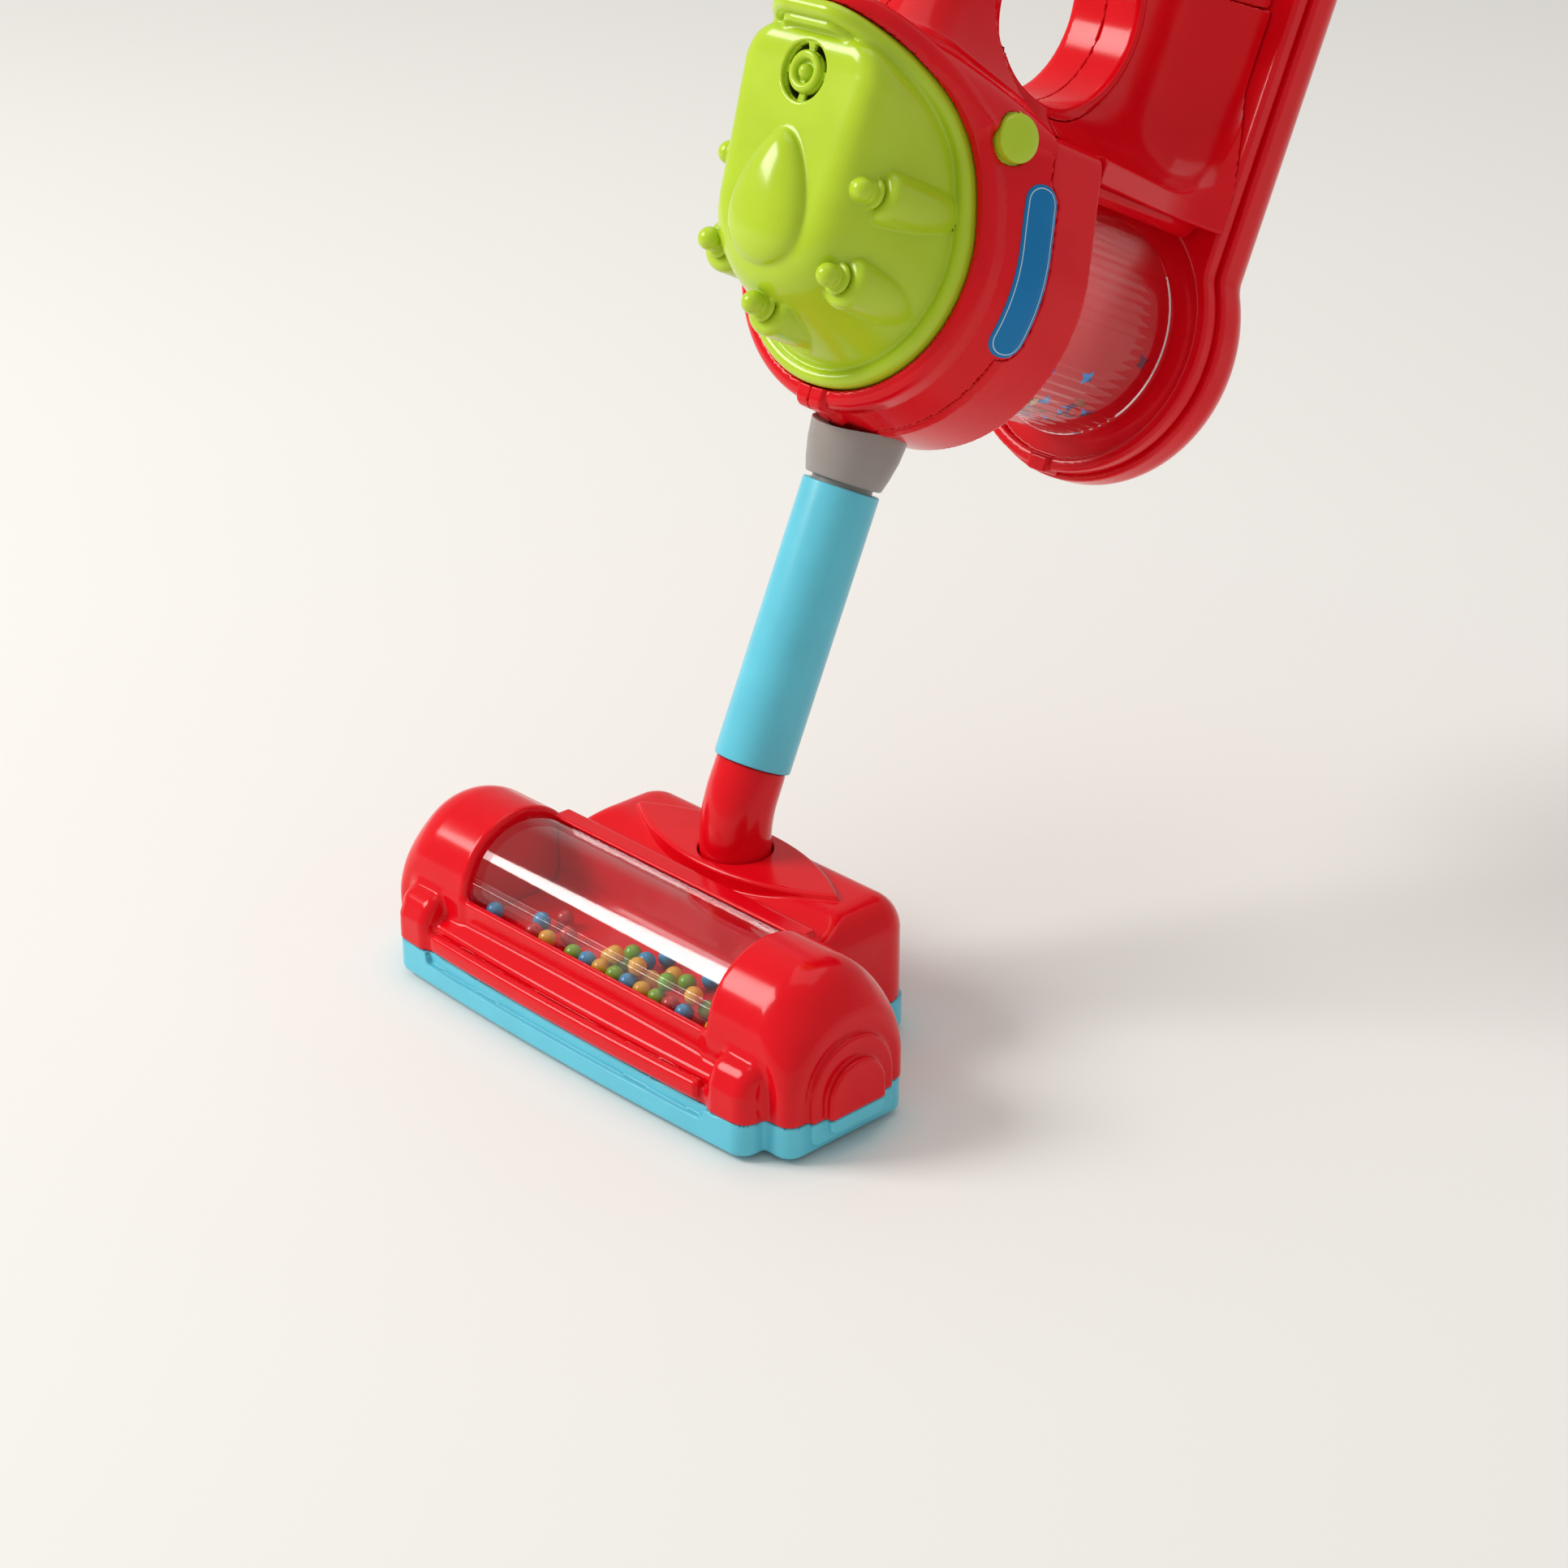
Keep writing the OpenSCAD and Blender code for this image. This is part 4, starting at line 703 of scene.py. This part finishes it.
# Outlines as hull3 takes them: low circle's height and radius, then the pair's side, height, radius
RIM = (0.3, 44.4, 7.0, 35.0, 27.5)
LIP_OUTLINE = (0.3, 50.0, 7, 35, 33.1)
BAND_OUTLINE = (0, 54.5, 40, 43, 5)
BAND_INSIDE = (0.0, 52.2, 40.0, 43.0, 2.7)
BAND_D, HOUSING_BACK, PANEL_D = -5.2, 19, 89.3
GRIP_D, GRIP_U, GRIP_R = 20, 89, 30
HANDLE_HALF, HANDLE_TOP, ROOF_U = 13, 135.8, 48
SEAM_TOP, SEAM_GAP, NEVER = 49.5, 0.12, 300
ROD_X, ROD_U, ROD_R, CUFF_R = 27, 40.5, 4.6, 6.2


def rim_frame(ax, d, u):
    """How far a point lies outside the rim's outline and in front of the rim.

    The top of the rim runs forward; the third value is where it lies.
    """
    out = hull3(ax, u, *RIM)
    rise = np.clip((u - RIM[3]) / (RIM[4] + np.maximum(out, -20)), 0, 1)
    v = np.clip(u - out * rise, 0, 66)
    share = v / RIM_TOP
    lean = 4 * RIM_LEAD / RIM_TOP * share ** 3 * np.sqrt(1 - rise * rise)
    front = FACE_D - RIM_LEAD * share ** 4
    return out, (front - d) / np.sqrt(1 + lean * lean), front


def skin(x, d, u):
    """Outside of the housing from the lip back to its rear edge."""
    ax = np.abs(x)
    front = rim_frame(ax, d, u)[2]
    t = np.clip((BAND_D - d) / np.maximum(-13.2 - front, 8), 0, 1)
    return hull3(ax, u, *between(BAND_OUTLINE, LIP_OUTLINE, t))


def grip(d, u):
    return np.hypot(d - GRIP_D, u - GRIP_U) - GRIP_R


def reach(d):
    """Half width of the roof over the drum, which narrows to the panel."""
    return 45 - 13 * np.clip((d - HOUSING_BACK) / 70, 0, 1)


def handle(x, d, u):
    """Loop with its flare into the roof over the drum and into the panel."""
    ax = np.abs(x)
    plate = both(rect(d, u, -36, 110, 0, 136, 26), ax - HANDLE_HALF, 4.5)
    roof = both(both(u - ROOF_U, ax - reach(d), 1.6), 18 - d, 0.5)
    panel = np.maximum(both(89.4 - d, ax - 41, 6), u - 134)
    return both(smin(smin(plate, roof, 24), panel, 26), u - HANDLE_TOP, 3)


def leg(x, d, u):
    """Front leg of the loop, which widens down to the shoulders and forward over the cover."""
    ax = np.abs(x)
    side = 0.6586 * (ax - 38.8) - 0.0534 * (d + 5) + 0.7505 * (u - ROOF_U)
    side = smax(side, ax - 44.2, 3)
    side = smin(side, ax - HANDLE_HALF, 16)
    front = (-60 - d) * 0.85 + (u - ROOF_U) * 0.527
    front = smin(front, np.maximum(-36 - d, 84 - u), 12)
    back = d + 4.6 + np.maximum(u - ROOF_U, 0) * 0.36
    body = both(both(side, front, 12), back, 0.8)
    return np.maximum(both(body, u - 100, 3), 45 - u)


LABEL_D, LABEL_R, LABEL_LOW, LABEL_HIGH = -7.5, 5.7, -13.3, 27.6


def seam(u):
    """Where the front mouldings end.

    The joint steps back round the label and leaves it at its lower end.
    """
    r = LABEL_R + 1.0
    fall = np.clip(LABEL_LOW - u, 0, r)
    low = LABEL_D + np.sqrt(np.maximum(r * r - fall * fall, 0))
    high = LABEL_D + r - (LABEL_D + r + 5.0) * smooth((u - LABEL_HIGH - 2.0) / 5.0)
    return np.where(u < LABEL_LOW, low, high)


BUTTON_AT = (43.0, -21.0, 43.2)
BUTTON_YAW, BUTTON_PITCH = math.radians(-12), math.radians(10)
BUTTON_HOLE_R = 7.75
BUTTON_AXIS = np.array([math.cos(BUTTON_PITCH) * math.cos(BUTTON_YAW),
                        math.cos(BUTTON_PITCH) * math.sin(BUTTON_YAW),
                        math.sin(BUTTON_PITCH)])


def button_axes(x, d, u):
    """Distance along and away from the axis of the side button."""
    a = BUTTON_AXIS
    px, pd, pu = x - BUTTON_AT[0], d - BUTTON_AT[1], u - BUTTON_AT[2]
    depth = px * a[0] + pd * a[1] + pu * a[2]
    away = np.sqrt(np.maximum(px * px + pd * pd + pu * pu - depth * depth, 0))
    return depth, away


def front_field(side):
    def f(x, d, u):
        x = x * side
        ax = np.abs(x)
        body = skin(x, d, u)
        rim, zr, _ = rim_frame(ax, d, u)
        lip = both(body, zr, 4.0)
        tab = both(both(body - 1.6, zr - 1.3, 4.0), ax - 5.6, 1.2)
        tab = np.maximum(np.maximum(tab, -14 - zr), np.minimum(u + 38, 50 - u))
        lip = np.maximum(smin(lip, tab, 0.6), d - HOUSING_BACK)
        web = np.maximum(handle(x, d, u), -34 - d)
        whole = smin(lip, np.maximum(leg(x, d, u), zr + 4), 6.5)
        whole = smin(whole, np.maximum(web, 47 - u), 2.5)
        ring = np.hypot(grip(d, u) - 1.6, ax - 12.8) - 1.7
        whole = smin(whole, ring, 1.2)
        whole = smax(whole, -grip(d, u), 1.2 + 6 * smooth((10 - d) / 20))
        pocket = np.maximum(rim - 0.25, -3.5 - 26 * smooth((-5 - rim) / 8) - zr)
        whole = smax(whole, -pocket, 0.5)
        gone = np.where(u < SEAM_TOP, d - seam(u) + SEAM_GAP, d - NEVER)
        near = np.minimum(grip(d, u) - 3.6, 112 - u)
        gone = np.maximum(gone, np.where(d > 17, np.minimum(near, d - 19.2), -9))
        whole = both(whole, np.maximum(gone, d - PANEL_D), 0.3)
        if side > 0:
            depth, away = button_axes(x, d, u)
            hole = np.maximum(away - BUTTON_HOLE_R, np.abs(depth) - 8)
            whole = smax(whole, -hole, 0.5)
        return both(whole, 0.03 - x, 0.08)
    return f


for side, word in ((1, "right"), (-1, "left")):
    lo, hi = (0, 56) if side > 0 else (-56, 0)
    solid(f"{word}_half_red", front_field(side), (lo, -80, -56), (hi, 90, 138), HOUSING_STEP,
          "hand_unit", "red", [f"{word}_housing"])


def rear_field(x, d, u):
    inner = hull3(np.abs(x), u, *BAND_INSIDE)
    body = both(skin(x, d, u), d - HOUSING_BACK, 1.3)
    body = smax(body, -np.maximum(inner, 14.6 - d), 0.6)
    port = np.maximum(np.hypot(x, u) - 5, 5 - d)
    body = np.maximum(body, -port)
    return both(body, seam(u) + SEAM_GAP - d, 0.3)


solid("band_red", rear_field, (-56, -13, -56), (56, 20, 50), HOUSING_STEP,
      "hand_unit", "red", ["rear_housing"])


def bridge_field(x, d, u):
    ax = np.abs(x)
    web = both(handle(x, d, u), 40 - u, 1.0)
    under = np.maximum(np.maximum(ax - reach(d) + 2.4, u - 45.2), np.maximum(22 - d, d - 86))
    web = smax(web, -under, 0.8)
    away = np.hypot(ax - ROD_X, u - ROD_U)
    rod = np.maximum(away - ROD_R, np.maximum(19.4 - d, d - 88))
    cuff = both(away - CUFF_R, d - 31, 1.0)
    rod = smin(rod, np.maximum(cuff, 19.4 - d), 0.8)
    web = smin(web, rod, 1.0)
    web = smax(web, -grip(d, u), 1.2)
    gone = np.maximum(19.35 - d, 3.75 - grip(d, u))
    gone = np.maximum(gone, np.maximum(u - 111.8, d - PANEL_D))
    return both(web, gone, 0.3)


solid("bridge_red", bridge_field, (-46, 19, 33), (46, 90, 113), HOUSING_STEP,
      "hand_unit", "red", ["bridge"])


# Lime cover

NOSE_OUTLINE = (5, 25, 18, 43, 11)
FLANK_OUTLINE = (0.3, 39.9, 7, 35, 23)
EGG_U, EGG_HALF_W, EGG_HALF_L, EGG_RISE = 4.9, 14.2, 19.8, 6.8
CONE_ANGLES = (-90, -32, 20, 160, 212)
CONE_RING_R, CONE_RING_U, CONE_TIP_D = 30, 4, -62.3
BALL_R, STEM_R, COLLAR_R, FOOT_R = 3.6, 3.5, 4.9, 8.5
GRILLE_U, GRILLE_R, GRILLE_RING_R, KNOB_R, SLOT_R = 42, 8.8, 4.9, 2.3, 7.45


def nose(u):
    """Where the flat of the nose lies; it leans forward to its top."""
    return -68.0 - 0.083 * u - 2.6 * smooth((u - 44) / 14)


def cone(x, d, u, angle):
    """A ball on a stem, a collar and a rounded foot."""
    cx = CONE_RING_R * math.cos(math.radians(angle))
    cu = CONE_RING_U + CONE_RING_R * math.sin(math.radians(angle))
    rho, e = np.hypot(x - cx, u - cu), d - CONE_TIP_D
    body = np.hypot(rho, e) - BALL_R
    body = smin(body, both(rho - STEM_R, np.abs(e - 5) - 3.5, 0.4), 0.4)
    body = smin(body, both(rho - COLLAR_R, np.abs(e - 4.1) - 0.9, 0.8), 0.3)
    foot = both(rho - FOOT_R - np.maximum(e - 10, 0) * 0.04, 5.6 - e, 3.0)
    return np.maximum(smin(body, foot, 0.4), d + 30)


def grille(body, x, u, ahead):
    """Sink the grille into the nose: a dish with a ring, a knob, a bar and four slots."""
    gr, ga = np.hypot(x, u - GRILLE_U), np.arctan2(u - GRILLE_U, x)
    body = smax(body, -np.maximum(gr - GRILLE_R, ahead - 1.8), 0.8)
    ring = np.hypot(gr - GRILLE_RING_R, ahead - 1.0) - 1.35
    knob = np.sqrt(gr * gr + (ahead - 1.2) ** 2) - KNOB_R
    bar = np.maximum(np.abs(x) - 0.9, np.abs(u - 38.5) - 2.5)
    bar = np.maximum(bar, np.abs(ahead - 1.6) - 0.7)
    body = smin(body, np.minimum(np.minimum(ring, knob), bar), 0.4)
    for middle in (45, 135, 225, 315):
        off = np.abs((ga - math.radians(middle) + math.pi) % (2 * math.pi) - math.pi)
        slot = np.maximum(np.abs(gr - SLOT_R) - 1.0, (off - 0.6) * SLOT_R)
        body = smax(body, -np.maximum(slot, ahead - 6.5), 0.4)
    return body


def cover_field(x, d, u):
    ax = np.abs(x)
    rim, zr, front = rim_frame(ax, d, u)
    ahead = d - nose(u)
    t = np.clip(ahead / np.maximum(front - nose(u), 12), 0, 1)
    flank = hull3(ax, u, *between(NOSE_OUTLINE, FLANK_OUTLINE, t))
    body = smax(flank, -ahead, 9)
    bead = np.hypot(rim + 2.9, np.maximum(np.abs(zr - 0.3) - 0.9, 0)) - 2.7
    base = both(both(rim + 0.2, zr - 0.3, 1.2), -8 - rim, 1.0)
    body = smin(body, np.minimum(bead, base), 1.6)
    across = EGG_HALF_W * (1 - 0.016 * (u - 4.5))
    egg = (x / across) ** 2 + ((u - EGG_U) / EGG_HALF_L) ** 2 + (ahead / EGG_RISE) ** 2
    body = smin(body, np.maximum((np.sqrt(egg) - 1) * 6.5, ahead - 6), 0.7)
    for angle in CONE_ANGLES:
        body = smin(body, cone(x, d, u, angle), 0.6)
    body = grille(body, x, u, ahead)
    return both(body, -3.0 - 22 * smooth((-4 - rim) / 8) - zr, 0.5)


def in_painted_grille_shade(c):
    """Whether a point of the frame lies deep in the grille's slots, where the cover gets painted
    shade.
    """
    y, z = c.y, c.z - BEND_Z
    d, u = y * CL - z * SL, y * SL + z * CL - AXIS_S
    return math.hypot(c.x, u - GRILLE_U) < 8.9 and d > nose(u) + 3.0


cover = solid("cover_lime", cover_field, (-46, -80, -46), (46, -21, 65), COVER_STEP,
              "hand_unit", "lime", ["front_cover"])
# Faces more than 3 mm deep in the grille's slots get the near-black lime: painted shade
paint(cover, "well", [in_painted_grille_shade(face.center * 1000) for face in cover.data.polygons])

# Side button

BUTTON_R, FLANGE_R, STEM_OUT = 7.3, 8.6, 2


def place_button(p):
    b = np.array([-math.sin(BUTTON_YAW), math.cos(BUTTON_YAW), 0])
    c = np.cross(BUTTON_AXIS, b)
    return np.array(BUTTON_AT) + p[:, [0]] * b + p[:, [1]] * c + p[:, [2]] * BUTTON_AXIS


profile = [(BUTTON_R * math.sin(t), 0.5 + 2.0 * math.cos(t))
           for t in np.linspace(POLE, math.pi / 2, 12)]
profile += [(BUTTON_R, -2.6), (FLANGE_R, -2.8), (FLANGE_R, -4.2),
            (STEM_OUT, -4.2), (STEM_OUT, -8), (0.3, -8)]
loops = [place_button(l) for l in lathe(profile, 64)]
p, q = rings(loops[::-1])
add("button_lime", to_unit(p), q, "side_button", "lime", ["side_button"], angle=45)


# Bare label that follows the side of the housing

LABEL_POINTS, LABEL_CUTS, LABEL_LINE = 96, 14, 3
# Inset from the outline and lift off the housing
LABEL_RINGS = ((0, -0.25), (0, 0.3), (0.15, 0.42), (0.9, 0.44), (1.2, 0.44), (2.2, 0.44), (3.2, 0.44))


def label_loop(inset):
    """Points (d, u) of the outline, with its straight sides cut up."""
    points = []
    for k in range(LABEL_POINTS):
        a = 2 * math.pi * k / LABEL_POINTS
        r = LABEL_R - inset
        end = LABEL_HIGH if k < LABEL_POINTS // 2 else LABEL_LOW
        points.append(np.array([LABEL_D + r * math.cos(a), end + r * math.sin(a)]))
    loop = []
    for p, q in zip(points, points[1:] + points[:1]):
        cuts = LABEL_CUTS if abs(q[1] - p[1]) > 20 else 1
        loop += [p + (q - p) * k / cuts for k in range(cuts)]
    return np.array(loop)


out = []
for inset, lift in LABEL_RINGS:
    d, u = label_loop(inset).T
    x = np.full(len(d), 53.0)
    for _ in range(12):
        value = skin(x, d, u) - lift
        ahead = skin(x + 0.05, d, u) - lift
        x = x - value / np.maximum((ahead - value) / 0.05, 0.2)
    out.append(np.stack([x, d, u], 1))
p, q = rings(out, caps=False)
m = len(out[0])
last, top = (len(out) - 1) * m, LABEL_POINTS // 4
for t in range(m // 2 - 1):
    rung = (top - 2 - t, top - 1 - t, top + t, top + 1 + t)
    q.append(tuple(last + i % m for i in rung))
label = add("label_plain", to_unit(p), q, "hand_unit", "label", ["side_label"], angle=40)
paint(label, "line", [i // m == LABEL_LINE for i in range(len(q))])

# Drum with fine ribs and a thick rear rim, whose front slope and outer face carry a painted highlight

DRUM_POINTS, DRUM_RIBS, RIB_DEPTH = 720, 64, 0.4
DRUM_R, DRUM_BORE, DRUM_RIM_R = 36.0, 34.7, 36.5
HIGHLIGHT_RINGS = (6, 7)


def drum_loop(r, d, ribs=0.0):
    t = np.arange(DRUM_POINTS) * 2 * math.pi / DRUM_POINTS
    rr = r + ribs * (0.5 + 0.5 * np.cos(DRUM_RIBS * t))
    return np.stack([rr * np.sin(t), np.full(DRUM_POINTS, d), rr * np.cos(t)], 1)


profile = [(DRUM_BORE, 14.9), (DRUM_R, 14.9)]
profile += [(DRUM_R, d, RIB_DEPTH) for d in (15.4, 40, 64, 85.2)]
profile += [(36.1, 86.0), (DRUM_RIM_R, 86.4), (DRUM_RIM_R, 88.0), (36.1, 89.2), (34.9, 89.2),
            (DRUM_BORE, 88.8), (DRUM_BORE, 50)]
p, q = rings([drum_loop(*a) for a in profile], closed=True)
drum = add("drum_clear", to_unit(p), [f[::-1] for f in q], "hand_unit", "clear", ["drum"], angle=40)
# The rim's front slope and outer face get the near-opaque white clear plastic: a painted highlight
paint(drum, "clear_painted_highlight", [i // DRUM_POINTS in HIGHLIGHT_RINGS for i in range(len(q))])

# Confetti: curled foil flakes that lie in the drum

FLAKES = {
    "diamond": [(-3.4, 0), (-1.2, 1.1), (0, 3.0), (1.2, 1.1),
                (3.4, 0), (1.2, -1.1), (0, -3.0), (-1.2, -1.1)],
    "strip": [(-3.2, -1.0), (-1, -1.1), (1, -1.1), (3.2, -1.0),
              (3.2, 1.0), (1, 1.1), (-1, 1.1), (-3.2, 1.0)],
    "disc": [(2.0 * math.cos(a), 2.0 * math.sin(a)) for a in np.arange(8) * math.pi / 4],
}
FLAKE_T, FLAKE_LIE, FLAKE_SPREAD = 0.12, 34.3, 62


def flake(kind, d, angle, lift, spin, curl):
    cs, sn = math.cos(spin), math.sin(spin)
    loops = []
    for thick in (0.0, FLAKE_T):
        pts = []
        for a, b in FLAKES[kind]:
            p1, p2 = a * cs - b * sn, a * sn + b * cs
            theta = angle + p1 / 33
            r = FLAKE_LIE - lift - thick - curl * (a / 3.2) ** 2
            pts.append((r * math.sin(theta), d + p2, r * math.cos(theta)))
        loops.append(np.array(pts))
    return rings(loops)


rng = np.random.RandomState(21)
for kind, colour, count in (("diamond", "blue", 22), ("strip", "gold", 26), ("disc", "purple", 18)):
    parts = []
    for _ in range(count):
        spread = max(-FLAKE_SPREAD, min(FLAKE_SPREAD, rng.normal(0, 24)))
        parts.append(flake(kind, rng.uniform(26, 84), math.radians(180 + spread),
                           rng.uniform(0.2, 2.6), rng.uniform(0, 6.28), rng.uniform(0.2, 1.3)))
    if colour == "blue":
        parts.append(flake(kind, 62, math.radians(118), 0.3, 1.3, 0.3))
    if colour == "purple":
        parts.append(flake("diamond", 82, math.radians(100), 0.3, 0.6, 0.4))
    p, q = gather(parts)
    add(f"confetti_{colour}_set", to_unit(p), q, "hand_unit", f"foil_{colour}",
        [f"confetti_{colour}"], angle=30)

# Rear panel and back cover

PANEL_R, PANEL_HALF, PANEL_TOP = 50.1, 42.5, 140
PANEL_MID, PANEL_HALF_T = 92.75, 3.25
DISH_R, DISH_D = 43.6, 92.0
BACK_D, BACK_FRONT = 114.7, 96.2
DOOR_HALF, DOOR_LOW, DOOR_HIGH, DOOR_GAP = 25, -26, 42, 0.3
DOOR_MID, DOOR_HALF_T = 113.55, 1.05
GROOVES, GROOVE_PITCH = 7, 2.6


def panel_outline(x, u, off):
    half = PANEL_HALF + off
    top = rect(x, u, -half, half, -20, PANEL_TOP + off, 18)
    return smin(np.hypot(x, u) - PANEL_R - off, np.maximum(top, -u), 1.6)


def panel_field(x, d, u):
    p = panel_outline(x, u, -2)
    body = both(p, np.abs(d - PANEL_MID) - PANEL_HALF_T, 1.5)
    dish = np.maximum(np.hypot(x, u) - DISH_R, d - DISH_D)
    body = smax(body, -dish, 1.6)
    tab = both(np.maximum(p - 1.2, np.abs(d - DISH_D) - 4.0), np.abs(x) - 4.2, 1.0)
    return smin(body, np.maximum(tab, u + 44), 0.6)


solid("panel_red", panel_field, (-50, 87, -51), (50, 97, 140), PANEL_STEP,
      "hand_unit", "red", ["rear_panel"])


def back_field(x, d, u):
    body = both(panel_outline(x, u, 0), d - BACK_D, 12)
    body = both(body, BACK_FRONT - d, 1.3)
    half = DOOR_HALF + DOOR_GAP
    door = rect(x, u, -half, half, DOOR_LOW - DOOR_GAP, DOOR_HIGH + DOOR_GAP, 3)
    return smax(body, -np.maximum(door, 112.3 - d), 0.4)


solid("back_red", back_field, (-51, 96, -51), (51, 115, 141), PANEL_STEP,
      "hand_unit", "red", ["back_cover"])


def door_field(x, d, u):
    plate = rect(x, u, -DOOR_HALF, DOOR_HALF, DOOR_LOW, DOOR_HIGH, 2.8)
    body = both(plate, np.abs(d - DOOR_MID) - DOOR_HALF_T, 0.5)
    for k in range(GROOVES):
        groove = np.hypot(u + 20 - GROOVE_PITCH * k, d - 114.9) - 0.7
        body = smax(body, -np.maximum(groove, np.abs(x) - 9), 0.3)
    hole = np.hypot(x, u - 37.375) - 3.1
    return smax(body, -np.maximum(hole, 113.6 - d), 0.3)


solid("door_red", door_field, (-26, 112, -27), (26, 115, 43), DOOR_STEP,
      "hand_unit", "red", ["battery_door"])

# Nodes that stay as they are get a finish

SLOTS = {row["node"]: row["material_slot"] for row in frame["record"]["subparts"]}
for name, obj in frame["nodes"].items():
    if obj.hide_render:
        continue
    obj.data.materials.clear()
    obj.data.materials.append(MATERIALS["clear" if name == "fan" else SLOTS[name]])

# Floor, light and world

FLOOR_HALF, FLOOR_Z = 6.0, -0.0015
corners = [(x * FLOOR_HALF, y * FLOOR_HALF, FLOOR_Z)
           for x, y in ((-1, -1), (1, -1), (1, 1), (-1, 1))]
mesh = bpy.data.meshes.new("floor")
mesh.from_pydata(corners, [], [(0, 1, 2, 3)])
obj = bpy.data.objects.new("floor", mesh)
bpy.context.scene.collection.objects.link(obj)
m, t, s = node_material("floor_paper")
ramp(t, noise(t, 3), (0.875, 0.86, 0.83), (0.89, 0.875, 0.845), s.inputs["Base Color"])
s.inputs["Roughness"].default_value = 0.75
s.inputs["Specular IOR Level"].default_value = 0.2
mesh.materials.append(m)


def lamp(name, place, target, width, height, power, colour):
    data = bpy.data.lights.new(name, "AREA")
    data.shape = "RECTANGLE"
    data.size, data.size_y = width, height
    data.energy = power
    data.color = colour
    obj = bpy.data.objects.new(name, data)
    bpy.context.scene.collection.objects.link(obj)
    obj.location = place
    aim = Vector(target) - Vector(place)
    obj.rotation_euler = aim.to_track_quat("-Z", "Y").to_euler()


lamp("key", (-1.5, -1.5, 1.7), (0, 0.05, 0.15), 1.1, 1.1, 47, (1, 0.985, 0.96))
lamp("top", (-0.3, 0.5, 2.2), (0, 0.05, 0.1), 1.6, 1.6, 9, (1, 0.99, 0.98))
world = bpy.data.worlds.new("studio")
bpy.context.scene.world = world
world.use_nodes = True
sky = world.node_tree.nodes["Background"]
sky.inputs["Color"].default_value = (1.0, 0.985, 0.96, 1)
sky.inputs["Strength"].default_value = 0.5

bpy.context.scene.view_settings.view_transform = "Standard"
